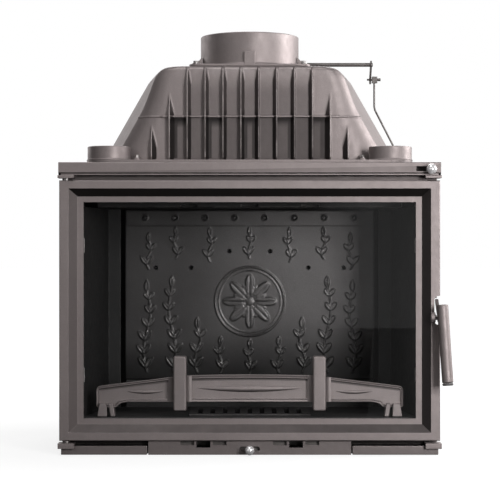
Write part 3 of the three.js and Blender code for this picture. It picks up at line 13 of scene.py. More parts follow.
import bmesh
import bpy
import numpy as np
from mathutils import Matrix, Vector


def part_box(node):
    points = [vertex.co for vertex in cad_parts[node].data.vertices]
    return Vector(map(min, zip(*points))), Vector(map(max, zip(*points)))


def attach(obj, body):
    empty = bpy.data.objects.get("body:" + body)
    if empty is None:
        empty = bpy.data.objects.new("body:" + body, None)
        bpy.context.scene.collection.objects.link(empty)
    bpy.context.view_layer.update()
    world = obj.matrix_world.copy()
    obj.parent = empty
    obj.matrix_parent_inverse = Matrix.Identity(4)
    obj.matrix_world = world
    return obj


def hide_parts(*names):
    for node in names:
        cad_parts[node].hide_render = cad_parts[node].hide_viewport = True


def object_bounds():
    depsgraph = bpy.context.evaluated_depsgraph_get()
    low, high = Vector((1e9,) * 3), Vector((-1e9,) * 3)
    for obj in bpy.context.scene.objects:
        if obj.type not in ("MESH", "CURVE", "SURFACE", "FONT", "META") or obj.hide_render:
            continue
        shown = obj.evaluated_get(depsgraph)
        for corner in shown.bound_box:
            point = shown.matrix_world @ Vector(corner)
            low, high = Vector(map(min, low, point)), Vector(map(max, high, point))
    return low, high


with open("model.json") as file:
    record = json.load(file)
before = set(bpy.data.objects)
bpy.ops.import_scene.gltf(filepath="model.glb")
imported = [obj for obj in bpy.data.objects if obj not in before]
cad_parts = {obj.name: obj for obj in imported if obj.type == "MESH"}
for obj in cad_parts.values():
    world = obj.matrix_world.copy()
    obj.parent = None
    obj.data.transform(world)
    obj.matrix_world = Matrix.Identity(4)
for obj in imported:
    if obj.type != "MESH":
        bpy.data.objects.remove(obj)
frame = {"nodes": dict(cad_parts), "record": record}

cad_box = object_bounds()
nodes = frame["nodes"]
record = frame["record"]
BODY_OF = {node: body for body, held in record["behaviour"]["bodies"].items() for node in held}
SLOT_OF = {part["node"]: part["material_slot"] for part in record["subparts"]}
MM = 0.001

# %% [markdown]
# ## Camera
# The photograph looks level and straight at the door. The ellipse of the flue's rim gives the
# distance, and with it the focal length, which is given here in pixels of a 500 pixel frame.

# %% Place the camera
EYE_HEIGHT = 0.3917
EYE_DISTANCE = 3.082
FOCAL_PIXELS = 1616
FRAME_PIXELS = 500
SENSOR_WIDTH = 36.0
EYE_RIGHT = 0.0006

scene = bpy.context.scene
camera_data = bpy.data.cameras.new("camera")
camera_data.sensor_width = SENSOR_WIDTH
camera_data.lens = SENSOR_WIDTH * FOCAL_PIXELS / FRAME_PIXELS
camera = bpy.data.objects.new("camera", camera_data)
door_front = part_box("door_frame")[0].y
camera.location = (EYE_RIGHT, door_front - EYE_DISTANCE, EYE_HEIGHT)
camera.rotation_euler = (math.pi / 2, 0, 0)
scene.collection.objects.link(camera)
scene.camera = camera
print("camera stands", round(-camera.location.y, 3), "m in front of the middle of the base")

# %% [markdown]
# ## Tools for shader nodes
# The studio and the finishes are built from a few kinds of nodes. These tools make and link them, and
# each takes plain numbers as well as the outputs of other nodes.

# %% Tools for shader nodes
WHITE, BLACK = (1, 1, 1, 1), (0, 0, 0, 1)


def feed(tree, socket, value):
    """Gives a socket a plain value, or links another node's output to it."""
    if isinstance(value, bpy.types.NodeSocket):
        tree.links.new(value, socket)
    else:
        socket.default_value = value


def value_of(tree, operation, first, second):
    """A math node on two values, each a number or a socket."""
    node = tree.nodes.new("ShaderNodeMath")
    node.operation = operation
    feed(tree, node.inputs[0], first)
    feed(tree, node.inputs[1], second)
    return node.outputs[0]


def ramp_of(tree, value, low, high, start=0.0, end=1.0):
    """start below low, end above high, and a straight line between them."""
    node = tree.nodes.new("ShaderNodeMapRange")
    for socket, number in (("Value", value), ("From Min", low), ("From Max", high),
                           ("To Min", start), ("To Max", end)):
        feed(tree, node.inputs[socket], number)
    return node.outputs["Result"]


def object_place(tree):
    """Where a point lies on its object, in metres."""
    return tree.nodes.new("ShaderNodeTexCoord").outputs["Object"]


def new_material(name, **sockets):
    """A Principled material with plain values on the shader's own sockets."""
    material = bpy.data.materials.new(name)
    material.use_nodes = True
    shader = material.node_tree.nodes["Principled BSDF"]
    for socket, value in sockets.items():
        shader.inputs[socket.replace("_", " ")].default_value = value
    return material, material.node_tree, shader


def seen_directly(tree):
    """1 for rays from the camera, glossy rays and rays through glass, and 0 for the others."""
    rays = tree.nodes.new("ShaderNodeLightPath").outputs
    mirrored = value_of(tree, "MAXIMUM", rays["Is Glossy Ray"], rays["Is Transmission Ray"])
    return value_of(tree, "MAXIMUM", rays["Is Camera Ray"], mirrored)


print("tools for shader nodes ready")

# %% [markdown]
# ## Studio
# The photograph is a studio shot on white. The key lamp stands in front on the right, a strip further
# round gives the bright edges, and weak lamps fill the front, the top, the left side and the back.
# The room is white for rays from the camera, glossy rays and rays through glass, and dim for diffuse
# light, so that the lamps model the castings. A picture of a studio on the world would light it too,
# but it couldn't be moved by parts.

# %% Room and lamps
scene.view_settings.view_transform = "Standard"


def area_lamp(name, place, aim, size, watts):
    """A rectangular lamp at a place that points at another place."""
    light = bpy.data.lights.new(name, "AREA")
    light.shape = "RECTANGLE"
    light.size, light.size_y = size
    light.energy = watts
    lamp = bpy.data.objects.new(name, light)
    lamp.location = place
    lamp.rotation_euler = (Vector(aim) - Vector(place)).to_track_quat("-Z", "Y").to_euler()
    scene.collection.objects.link(lamp)


ROOM_FILL = 0.1
world = bpy.data.worlds.new("studio")
scene.world = world
world.use_nodes = True
sky = world.node_tree
fill, white = sky.nodes["Background"], sky.nodes.new("ShaderNodeBackground")
for room, strength in ((fill, ROOM_FILL), (white, 1)):
    room.inputs["Color"].default_value = WHITE
    room.inputs["Strength"].default_value = strength
choice = sky.nodes.new("ShaderNodeMixShader")
for socket, output in enumerate((seen_directly(sky), fill.outputs[0], white.outputs[0])):
    sky.links.new(output, choice.inputs[socket])
sky.links.new(choice.outputs[0], sky.nodes["World Output"].inputs["Surface"])

lamps = [
    # name, place, place it points at, size, watts
    ("key", (1.1, -2.15, 0.68), (0.1, -0.1, 0.33), (0.5, 0.9), 35),
    ("soft front fill", (-0.85, -2.3, 0.8), (0.0, -0.1, 0.45), (0.5, 0.9), 3),
    ("edge strip", (1.9, 0.1, 1.05), (0.0, -0.05, 0.7), (0.7, 1.1), 40),
    ("overhead", (-0.3, -1.0, 2.6), (0, -0.05, 0.7), (1.4, 1.0), 22),
    ("left side", (-2.1, 1.7, 1.1), (-0.2, 0.1, 0.45), (1.0, 1.0), 7),
    ("behind", (0.4, 2.8, 2.3), (0, 0.1, 0.4), (1.6, 1.2), 34),
]
for lamp in lamps:
    area_lamp(*lamp)
print("lamps:", len(lamps))

# %% [markdown]
# ## Floor and cards
# The floor is white like the room and takes a soft shadow. Cards in front, on the left and on the
# floor keep the white room out of the glass, as a photographer's black flags do. The one behind the
# camera turns grey on its right, for the pale veil on that side of the glass. Only reflections see
# the cards. The white room would do without them, but its image in the glass would hide the firebox.

# %% Floor and cards
def stage_sheet(name, corners, material):
    """A flat sheet with four corners."""
    mesh = bpy.data.meshes.new(name)
    mesh.from_pydata(corners, [], [(0, 1, 2, 3)])
    mesh.materials.append(material)
    sheet = bpy.data.objects.new(name, mesh)
    scene.collection.objects.link(sheet)
    return sheet


def upright(x0, y0, x1, y1, foot=-0.6, head=3.4):
    """The corners of an upright sheet over a line on the floor."""
    return [(x0, y0, foot), (x1, y1, foot), (x1, y1, head), (x0, y0, head)]


def level(height, *plan):
    """The corners of a level sheet with a plan."""
    return [(x, y, height) for x, y in plan]


FLOOR_REACH = 30
FLOOR_DROP = 0.0006
GLOW_NEAR, GLOW_FAR = 0.8, 1.0
GLOW_START, GLOW_END = 0.5, 1.8
floor_white, floor_tree, floor_shader = new_material(
    "white studio floor", Base_Color=(0.25, 0.25, 0.25, 1), Roughness=0.9, Specular_IOR_Level=0)
from_middle = floor_tree.nodes.new("ShaderNodeVectorMath")
from_middle.operation = "LENGTH"
floor_tree.links.new(object_place(floor_tree), from_middle.inputs[0])
distance = from_middle.outputs["Value"]
glow = ramp_of(floor_tree, distance, GLOW_START, GLOW_END, GLOW_NEAR, GLOW_FAR)
floor_tree.links.new(glow, floor_shader.inputs["Emission Strength"])
floor_tree.links.new(seen_directly(floor_tree), floor_shader.inputs["Emission Color"])
floor_level = cad_box[0][2] - FLOOR_DROP
stage_sheet("floor", level(floor_level, (-FLOOR_REACH, -FLOOR_REACH), (FLOOR_REACH, -FLOOR_REACH),
                           (FLOOR_REACH, FLOOR_REACH), (-FLOOR_REACH, FLOOR_REACH)), floor_white)

VEIL_START, VEIL_END = 0.3, 0.58


def reflection_card(name, corners, glow, right_glow=None):
    """A card that only reflections see. With a second brightness it fades over to it on its right."""
    material, tree, shader = new_material(
        name, Base_Color=BLACK, Specular_IOR_Level=0, Emission_Color=WHITE, Emission_Strength=glow)
    if right_glow is not None:
        place = tree.nodes.new("ShaderNodeSeparateXYZ")
        tree.links.new(object_place(tree), place.inputs[0])
        fade = ramp_of(tree, place.outputs["X"], VEIL_START, VEIL_END, glow, right_glow)
        tree.links.new(fade, shader.inputs["Emission Strength"])
    card = stage_sheet(name, corners, material)
    card.visible_camera = False
    card.visible_diffuse = False
    card.visible_transmission = False
    card.visible_shadow = False


SIDE, FRONT, BACK = 3.6, -5.2, 1.2
APRON = (0.225, -0.26)
APRON_FRONT = (0.68, -6)
over_floor, over_base = floor_level + 0.0003, floor_level + 0.0002
cards = [
    # name, corners, brightness, and brightness on the right where it differs
    ("card behind the camera", upright(-3.8, FRONT, SIDE, FRONT), 0.02, 0.5),
    ("grey card on the left", upright(-SIDE, FRONT, -SIDE, -2.6), 0.9),
    ("dark card on the left", upright(-SIDE, -2.6, -SIDE, BACK), 0.04),
    ("card on the right", upright(SIDE, FRONT, SIDE, BACK), 0.25),
    ("card at the back left", upright(-SIDE, BACK, -0.9, 5.0), 0.9),
    ("card overhead", level(3.4, (-SIDE, FRONT), (SIDE, FRONT), (SIDE, 2), (-SIDE, 2)), 0.1),
    ("card on the floor",
     level(over_floor, (-SIDE, -6), APRON_FRONT, APRON, (-SIDE, -0.26)), 0.03),
    ("grey card on the floor",
     level(over_floor, APRON_FRONT, (SIDE, -6), (SIDE, -0.26), APRON), 0.2),
    ("card round the base",
     level(over_base, (-SIDE, -0.27), (SIDE, -0.27), (SIDE, 3), (-SIDE, 3)), 0.04),
]
for card in cards:
    reflection_card(*card)
print("cards:", len(cards), "and a floor at", round(floor_level, 4))

# %% [markdown]
# ## Shared effects
# All the castings share three effects, so each is a node group: the grain of a sand casting, edges
# rubbed through to the iron, and dust that settles on what faces up. A group could hold the whole
# shader, but then the same grain could not serve another finish, so these give only masks, values
# and heights. The castings carry two numbers on their meshes for them: `edge` is 1 on a rounded
# edge, and on the hood it also carries painted highlights; `recess` darkens the paint with painted
# shade in channels, gaps, undersides and shaded sides, and with soot inside the firebox.

# %% Node groups
def new_group(name, inputs, outputs):
    """An empty shader group with named float inputs and outputs."""
    group = bpy.data.node_groups.new(name, "ShaderNodeTree")
    for socket, value in inputs.items():
        item = group.interface.new_socket(name=socket, in_out="INPUT", socket_type="NodeSocketFloat")
        item.default_value = value
    for socket in outputs:
        group.interface.new_socket(name=socket, in_out="OUTPUT", socket_type="NodeSocketFloat")
    return group, group.nodes.new("NodeGroupInput"), group.nodes.new("NodeGroupOutput")


def product_of(tree, *values):
    """Several values multiplied together."""
    total = values[0]
    for value in values[1:]:
        total = value_of(tree, "MULTIPLY", total, value)
    return total


def noise_of(tree, size, detail=2.0, roughness=0.55, stretch=(1, 1, 1)):
    """Noise on Object coordinates whose features are about a size in millimetres."""
    place = object_place(tree)
    if stretch != (1, 1, 1):
        mapping = tree.nodes.new("ShaderNodeMapping")
        mapping.inputs["Scale"].default_value = stretch
        tree.links.new(place, mapping.inputs["Vector"])
        place = mapping.outputs["Vector"]
    node = tree.nodes.new("ShaderNodeTexNoise")
    tree.links.new(place, node.inputs["Vector"])
    plain = isinstance(size, (int, float))
    feed(tree, node.inputs["Scale"], 1000 / size if plain else value_of(tree, "DIVIDE", 1000, size))
    node.inputs["Detail"].default_value = detail
    node.inputs["Roughness"].default_value = roughness
    return node.outputs["Fac"]


def attribute_of(tree, name):
    """A number that a mesh carries under a name."""
    node = tree.nodes.new("ShaderNodeAttribute")
    node.attribute_name = name
    return node.outputs["Fac"]


GRAIN, grain_in, grain_out = new_group(
    "sand cast grain", {"Grain size": 2.2, "Lump size": 14.0, "Patch size": 120.0},
    ["Height", "Tone", "Gloss"])
fine = noise_of(GRAIN, grain_in.outputs["Grain size"], 3, 0.6)
lumps = noise_of(GRAIN, grain_in.outputs["Lump size"], 2, 0.5)
patches = noise_of(GRAIN, grain_in.outputs["Patch size"], 3, 0.6)
height = value_of(GRAIN, "ADD", product_of(GRAIN, fine, 0.55), product_of(GRAIN, lumps, 0.9))
tone = value_of(GRAIN, "ADD", product_of(GRAIN, ramp_of(GRAIN, patches, 0.3, 0.7), 0.55),
                product_of(GRAIN, ramp_of(GRAIN, fine, 0.3, 0.7), 0.45))
GRAIN.links.new(height, grain_out.inputs["Height"])
GRAIN.links.new(tone, grain_out.inputs["Tone"])
GRAIN.links.new(ramp_of(GRAIN, lumps, 0.35, 0.65), grain_out.inputs["Gloss"])

# Rubbed wear on rounded edges; on the hood the same mask also paints highlights on the ledge and the
# brow.
WEAR_AND_HIGHLIGHT, wear_in, wear_out = new_group("rubbed edges", {"Amount": 0.6}, ["Mask"])
broken = ramp_of(WEAR_AND_HIGHLIGHT, noise_of(WEAR_AND_HIGHLIGHT, 26, 4, 0.65), 0.4, 0.62)
rubbed_and_highlit = product_of(WEAR_AND_HIGHLIGHT, attribute_of(WEAR_AND_HIGHLIGHT, "edge"), broken, wear_in.outputs["Amount"])
WEAR_AND_HIGHLIGHT.links.new(rubbed_and_highlit, wear_out.inputs["Mask"])

DUST, dust_in, dust_out = new_group("settled dust", {"Amount": 0.5}, ["Mask"])
facing = DUST.nodes.new("ShaderNodeNewGeometry")
parts = DUST.nodes.new("ShaderNodeSeparateXYZ")
DUST.links.new(facing.outputs["Normal"], parts.inputs[0])
upward = ramp_of(DUST, parts.outputs["Z"], 0.55, 0.98)
clouds = ramp_of(DUST, noise_of(DUST, 40, 4, 0.6), 0.3, 0.75)
settled = product_of(DUST, upward, clouds, dust_in.outputs["Amount"])
DUST.links.new(settled, dust_out.inputs["Mask"])
print("node groups:", [group.name for group in bpy.data.node_groups])

# %% [markdown]
# ## Finishes
# The body wears a matt heat-proof paint, a warm grey with a little metal in it, over a fine sand-cast
# skin. The iron inside is nearly black with soot. A photograph could be laid on each, but grain made
# by nodes keeps its size on every piece and has no seams.

# %% Castings' finishes
def linear(*channels):
    """Screen colour from 0 to 255 to the linear colour that a shader wants."""
    c = np.array(channels, dtype=float) / 255
    low, high = c / 12.92, ((c + 0.055) / 1.055) ** 2.4
    return (*np.where(c <= 0.04045, low, high), 1.0)


def placed(tree, group, **values):
    """A node group placed in a material, with its own values."""
    node = tree.nodes.new("ShaderNodeGroup")
    node.node_tree = group
    for socket, value in values.items():
        node.inputs[socket.replace("_", " ")].default_value = value
    return node


def blended(tree, factor, first, second):
    """A mix of two colours, each a colour or a socket, by a factor that is a number or a socket."""
    node = tree.nodes.new("ShaderNodeMix")
    node.data_type = "RGBA"
    for socket, value in ((0, factor), (6, first), (7, second)):
        feed(tree, node.inputs[socket], value)
    return node.outputs[2]


def bumped(tree, shader, height, distance):
    """A bump as deep as a distance in millimetres where height goes from 0 to 1."""
    node = tree.nodes.new("ShaderNodeBump")
    node.inputs["Distance"].default_value = distance * MM
    tree.links.new(height, node.inputs["Height"])
    tree.links.new(node.outputs["Normal"], shader.inputs["Normal"])


# How strongly and towards how dark a colour the number recess darkens a casting: painted shade and soot.
SHADE_DEPTH = 0.97
SHADE_TONE = 0.07
RUBBED_GLOSS = 0.15


def casting(name, light, dark, bare, roughness, metal, grain=2.2, depth=0.35, dust=0.5, wear=0.6):
    """A painted or sooty casting: patchy tone, painted shade and soot where recess is high, dust on top
    and rubbed edges.
    """
    material, tree, shader = new_material(name, Metallic=metal)
    skin = placed(tree, GRAIN, Grain_size=grain)
    colour = blended(tree, skin.outputs["Tone"], dark, light)
    # Painted shade and soot: where recess is high, the colour goes over to a near-black.
    painted_shade = product_of(tree, attribute_of(tree, "recess"), SHADE_DEPTH)
    colour = blended(tree, painted_shade, colour, (*(SHADE_TONE * c for c in dark[:3]), 1))
    dusty = placed(tree, DUST, Amount=dust)
    pale = (*(min(1, c * 1.25 + 0.02) for c in light[:3]), 1)
    colour = blended(tree, dusty.outputs["Mask"], colour, pale)
    # Bare iron on rubbed edges, and painted highlights where the hood marks them.
    worn_and_highlit = placed(tree, WEAR_AND_HIGHLIGHT, Amount=wear)
    colour = blended(tree, worn_and_highlit.outputs["Mask"], colour, bare)
    tree.links.new(colour, shader.inputs["Base Color"])
    gloss = ramp_of(tree, skin.outputs["Gloss"], 0, 1, roughness - 0.02, roughness + 0.04)
    rubbed_gloss = product_of(tree, worn_and_highlit.outputs["Mask"], RUBBED_GLOSS)
    tree.links.new(value_of(tree, "SUBTRACT", gloss, rubbed_gloss), shader.inputs["Roughness"])
    bumped(tree, shader, skin.outputs["Height"], depth)
    return material


paint = casting("heat-proof paint on cast iron", linear(142, 133, 132), linear(132, 123, 122),
                linear(170, 163, 161), roughness=0.54, metal=0.82, wear=0.3, dust=0.25)
sooty = casting("sooty cast iron", linear(98, 95, 95), linear(82, 79, 79), linear(140, 137, 135),
                roughness=0.6, metal=0.3, grain=2.6, depth=0.45, dust=0.25, wear=0.45)
liner_iron = casting("soot-black liner", linear(60, 59, 59), linear(46, 45, 45), linear(80, 78, 77),
                     roughness=0.62, metal=0.2, grain=2.6, depth=0.4, dust=0.2, wear=0.4)
back_iron = casting("fireback iron", linear(110, 108, 108), linear(92, 89, 89), linear(150, 148, 146),
                    roughness=0.42, metal=0.65, grain=2.6, depth=0.25, dust=0, wear=0.6)
guard_iron = casting("log guard iron", linear(158, 149, 148), linear(144, 135, 134),
                     linear(190, 183, 181), roughness=0.55, metal=0.75, grain=2.0, depth=0.4, dust=0.2)
iron_finishes = [paint, sooty, liner_iron, back_iron, guard_iron]
print("finishes of the castings:", [finish.name for finish in iron_finishes])

# %% [markdown]
# ## Steel, chrome, rope and glass
# Fasteners and the linkage are dull drawn steel, and the two knobs are chromed. The rope is dark
# glass fibre. The pane is clear glass to the camera, but the lamps' light passes straight through it:
# plain glass would do for a picture of the door alone, but it would leave the firebox dark.

# %% Other finishes
def drawn_steel(name, light, dark, roughness, stretch=(1, 1, 1), depth=0.05):
    """Dull steel with fine drawn lines and faint stains."""
    material, tree, shader = new_material(name, Metallic=1.0)
    lines = noise_of(tree, 1.6, 2, 0.6, stretch)
    stains = ramp_of(tree, noise_of(tree, 30, 3, 0.6), 0.35, 0.7)
    tree.links.new(blended(tree, stains, light, dark), shader.inputs["Base Color"])
    tree.links.new(ramp_of(tree, lines, 0.3, 0.7, roughness - 0.06, roughness + 0.1),
                   shader.inputs["Roughness"])
    bumped(tree, shader, lines, depth)
    return material


steel = drawn_steel("drawn steel", linear(176, 172, 170), linear(138, 133, 131), 0.4)
wire_steel = drawn_steel("oiled wire", linear(112, 108, 106), linear(90, 86, 85), 0.5, (1, 1, 0.2), 0.01)
chrome, chrome_tree, chrome_shader = new_material("polished chrome", Metallic=0.55)
smears = ramp_of(chrome_tree, noise_of(chrome_tree, 7, 3, 0.6), 0.35, 0.7)
chrome_tree.links.new(blended(chrome_tree, smears, linear(240, 238, 238), linear(222, 220, 222)),
                      chrome_shader.inputs["Base Color"])
chrome_tree.links.new(ramp_of(chrome_tree, smears, 0, 1, 0.16, 0.26), chrome_shader.inputs["Roughness"])
bumped(chrome_tree, chrome_shader, noise_of(chrome_tree, 1.2, 2), 0.01)

rope_fibre, rope_tree, rope_shader = new_material("glass-fibre rope")
fibres = noise_of(rope_tree, 0.7, 3, 0.7)
braid = attribute_of(rope_tree, "braid")
rope_tone = product_of(rope_tree, braid, ramp_of(rope_tree, fibres, 0.25, 0.75, 0.5, 1.0))
rope_tree.links.new(blended(rope_tree, rope_tone, linear(34, 32, 31), linear(116, 112, 108)),
                    rope_shader.inputs["Base Color"])
rope_tree.links.new(ramp_of(rope_tree, fibres, 0, 1, 0.8, 1.0), rope_shader.inputs["Roughness"])
bumped(rope_tree, rope_shader, fibres, 0.3)

glass_plate, glass_tree, glass_shader = new_material(
    "stove glass", Roughness=0.0, IOR=1.45, Transmission_Weight=1.0)
haze = ramp_of(glass_tree, noise_of(glass_tree, 90, 3, 0.6), 0.35, 0.7)
glass_tree.links.new(blended(glass_tree, haze, (0.99, 0.99, 0.985, 1), (0.95, 0.95, 0.945, 1)),
                     glass_shader.inputs["Base Color"])
rays = glass_tree.nodes.new("ShaderNodeLightPath").outputs
lighting_ray = value_of(glass_tree, "MAXIMUM", rays["Is Diffuse Ray"], rays["Is Glossy Ray"])
lighting_ray = value_of(glass_tree, "MAXIMUM", lighting_ray, rays["Is Shadow Ray"])

clear = glass_tree.nodes.new("ShaderNodeBsdfTransparent")
clear.inputs["Color"].default_value = (0.95, 0.95, 0.95, 1)
pane = glass_tree.nodes.new("ShaderNodeMixShader")
glass_tree.links.new(lighting_ray, pane.inputs["Fac"])
glass_tree.links.new(glass_shader.outputs[0], pane.inputs[1])
glass_tree.links.new(clear.outputs[0], pane.inputs[2])
glass_tree.links.new(pane.outputs[0], glass_tree.nodes["Material Output"].inputs["Surface"])

MATERIAL_OF = {
    "painted_iron": paint, "soot_dark_iron": sooty, "bright_steel": steel,
    "chrome_ball": chrome, "seal_rope": rope_fibre, "stove_glass": glass_plate,
}
print("finishes of the record's slots:", [material.name for material in MATERIAL_OF.values()])

# %% [markdown]
# ## Surfaces from numbers
# A casting could be built by hand from boxes and then smoothed. Here its surfaces are worked out
# instead: a grid of points from a formula, or a ring of points that is moved and shrunk row by row.
# Each helper says its formula in words. `make_piece` turns one or more closed skins into a mesh.

# %% Helpers for grids and rings
def grid_faces(rows, columns, closed_rows=False, closed_columns=True):
    """The four corners of each cell of a grid of points that is numbered row by row."""
    r = np.arange(rows if closed_rows else rows - 1)
    c = np.arange(columns if closed_columns else columns - 1)
    r0, c0 = np.meshgrid(r, c, indexing="ij")
    r1, c1 = (r0 + 1) % rows, (c0 + 1) % columns
    cells = [r0 * columns + c0, r0 * columns + c1, r1 * columns + c1, r1 * columns + c0]
    return np.stack(cells, axis=-1).reshape(-1, 4).tolist()


def skin_of(rings, looped=False):
    """A closed skin from rings (rows x columns x 3): looped, or closed by its first and last ring."""
    rings = np.asarray(rings, dtype=float)
    rows, columns = rings.shape[:2]
    faces = grid_faces(rows, columns, closed_rows=looped)
    if not looped:
        faces.append(list(range(columns))[::-1])
        faces.append(list(range((rows - 1) * columns, rows * columns)))
    return rings.reshape(-1, 3), faces


def make_piece(name, skins, material, stands_for, smooth_to=32, values=None):
    """One mesh from closed skins in millimetres. values holds numbers for each point, by name."""
    start, points, faces = 0, [], []
    for skin_points, skin_faces in skins:
        points.append(skin_points)
        faces += [[start + corner for corner in face] for face in skin_faces]
        start += len(skin_points)
    mesh = bpy.data.meshes.new(name)
    mesh.from_pydata((np.concatenate(points) * MM).tolist(), [], faces)
    for key, numbers in (values or {}).items():
        layer = mesh.attributes.new(key, "FLOAT", "POINT")
        padded = np.zeros(start, dtype=np.float32)
        padded[:len(numbers)] = numbers
        layer.data.foreach_set("value", padded)
    build = bmesh.new()
    build.from_mesh(mesh)
    bmesh.ops.remove_doubles(build, verts=build.verts, dist=2e-6)
    bmesh.ops.dissolve_degenerate(build, dist=1e-6, edges=build.edges)
    bmesh.ops.recalc_face_normals(build, faces=build.faces)
    build.to_mesh(mesh)
    build.free()
    return finish_piece(name, mesh, material, stands_for, smooth_to)


def finish_piece(name, mesh, material, stands_for, smooth_to):
    """Smooths a mesh up to an angle, gives it its finish, and puts it where its CAD nodes are. Normals
    are weighted by area, so that a flat face stays flat to the eye beside its rounded edges."""
    mesh.shade_smooth()
    mesh.set_sharp_from_angle(angle=math.radians(smooth_to))
    mesh.materials.clear()
    mesh.materials.append(material)
    made = bpy.data.objects.new(name, mesh)
    even = made.modifiers.new("even normals", "WEIGHTED_NORMAL")
    even.keep_sharp = True
    scene.collection.objects.link(made)
    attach(made, BODY_OF[stands_for[0]])
    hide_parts(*stands_for)
    return made


print("helpers for skins ready; one millimetre is", MM, "m")

# %% [markdown]
# ## Outlines, slabs and turned parts
# A flat casting is an outline with a thickness, and a round one is a profile about an axis. Modifiers
# could round their edges, but rings worked out here keep one width of rounding all the way round.

# %% Outlines, slabs and turned parts
def softened(outline, radius, steps=4):
    """Rounds the corners of a closed outline: (1-t)^2 a + 2t(1-t) b + t^2 c, where b is the corner and
    a and c lie a radius away from it along its two edges."""
    corner = np.asarray(outline, dtype=float)
    back, on = np.roll(corner, 1, axis=0) - corner, np.roll(corner, -1, axis=0) - corner
    back_length = np.linalg.norm(back, axis=1, keepdims=True)
    on_length = np.linalg.norm(on, axis=1, keepdims=True)
    reach = np.minimum(np.reshape(radius, (-1, 1)) * np.ones((len(corner), 1)),
                       0.45 * np.minimum(back_length, on_length))
    a, c = corner + back / back_length * reach, corner + on / on_length * reach
    t = np.linspace(0, 1, steps + 1)[None, :, None]
    curve = (1 - t) ** 2 * a[:, None] + 2 * t * (1 - t) * corner[:, None] + t ** 2 * c[:, None]
    return curve.reshape(-1, corner.shape[1])


def shrunk(outline, distance):
    """Moves each edge of an outline that turns left inwards: the corner p goes to
    p + d (m + n) / (1 + m.n), where m and n point inwards from its two edges."""
    corner = np.asarray(outline, dtype=float)
    edge = np.roll(corner, -1, axis=0) - corner
    edge = edge / np.linalg.norm(edge, axis=1, keepdims=True)
    n = np.stack([-edge[:, 1], edge[:, 0]], axis=1)
    m = np.roll(n, 1, axis=0)
    return corner + distance * (m + n) / (1 + np.sum(m * n, axis=1, keepdims=True))


AXIS_ORDER = {"x": (1, 2, 0), "y": (0, 2, 1), "z": (0, 1, 2)}


def laid(flat, depth, axis):
    """Puts a flat outline at a depth along an axis."""
    u, v, w = AXIS_ORDER[axis]
    out = np.empty((len(flat), 3))
    out[:, u], out[:, v], out[:, w] = flat[:, 0], flat[:, 1], depth
    return out


def slab(outline, back, front, axis, corner=3.0, edge=1.2, rim=0.0, recess=0.0):
    """A slab with rounded edges from back to front along an axis. With a rim, its front has a panel
    sunk by recess inside a rim of that width. The rings are shrunk copies of one outline."""
    way = 1 if front > back else -1
    quarter = np.linspace(0, math.pi / 2, 4)
    course = [(edge * (1 - math.sin(q)), back + way * edge * (1 - math.cos(q))) for q in quarter]
    course += [(edge * (1 - math.cos(q)), front - way * edge * (1 - math.sin(q))) for q in quarter]
    if rim:
        inner = min(edge, recess / 2)
        course += [(rim - inner * math.cos(q), front - way * inner * (1 - math.cos(math.pi / 2 - q)))
                   for q in quarter]
        course += [(rim + inner * math.sin(q), front - way * (recess - inner * (1 - math.sin(q))))
                   for q in quarter]
        course += [(rim + inner + strip, front - way * recess) for strip in (1.8, 4.0)]
    rings = [laid(softened(shrunk(outline, inset), np.maximum(corner - inset, 0.4)), depth, axis)
             for inset, depth in course]
    return skin_of(rings)


def smooth_step(value, low, high):
    """0 below low, 1 above high, and 3t^2 - 2t^3 between them."""
    t = np.clip((value - low) / (high - low), 0, 1)
    return t * t * (3 - 2 * t)


def mirrored(points, side):
    """An outline on its side of the middle, -1 on the left. It still turns left there."""
    flipped = np.array(points, dtype=float) * (side, 1)
    return flipped if side > 0 else flipped[::-1]


def rectangle(u0, u1, v0, v1):
    """The outline of an upright rectangle."""
    return np.array([(u0, v0), (u1, v0), (u1, v1), (u0, v1)], dtype=float)


def turned(profile, start, direction, sides=48, looped=True):
    """A profile (radius, distance along the axis) turned round an axis: each point makes a circle."""
    profile = np.asarray(profile, dtype=float)
    axis = np.asarray(direction, dtype=float) / np.linalg.norm(direction)
    side = np.cross(axis, (0.0, 0.0, 1.0) if abs(axis[2]) < 0.9 else (0.0, 1.0, 0.0))
    side /= np.linalg.norm(side)
    other = np.cross(axis, side)
    angle = np.linspace(0, 2 * math.pi, sides, endpoint=False)
    circle = np.cos(angle)[:, None] * side + np.sin(angle)[:, None] * other
    rings = (np.asarray(start, dtype=float) + profile[:, 1][:, None, None] * axis
             + profile[:, 0][:, None, None] * circle[None])
    return skin_of(rings, looped)


print("outlines can be laid across", sorted(AXIS_ORDER))

# %% [markdown]
# ## CAD solids with rounded edges
# The plates and small parts keep the shapes of their solids. These helpers copy a solid with its
# edges rounded, add a skin to it, and write a number on its faces.

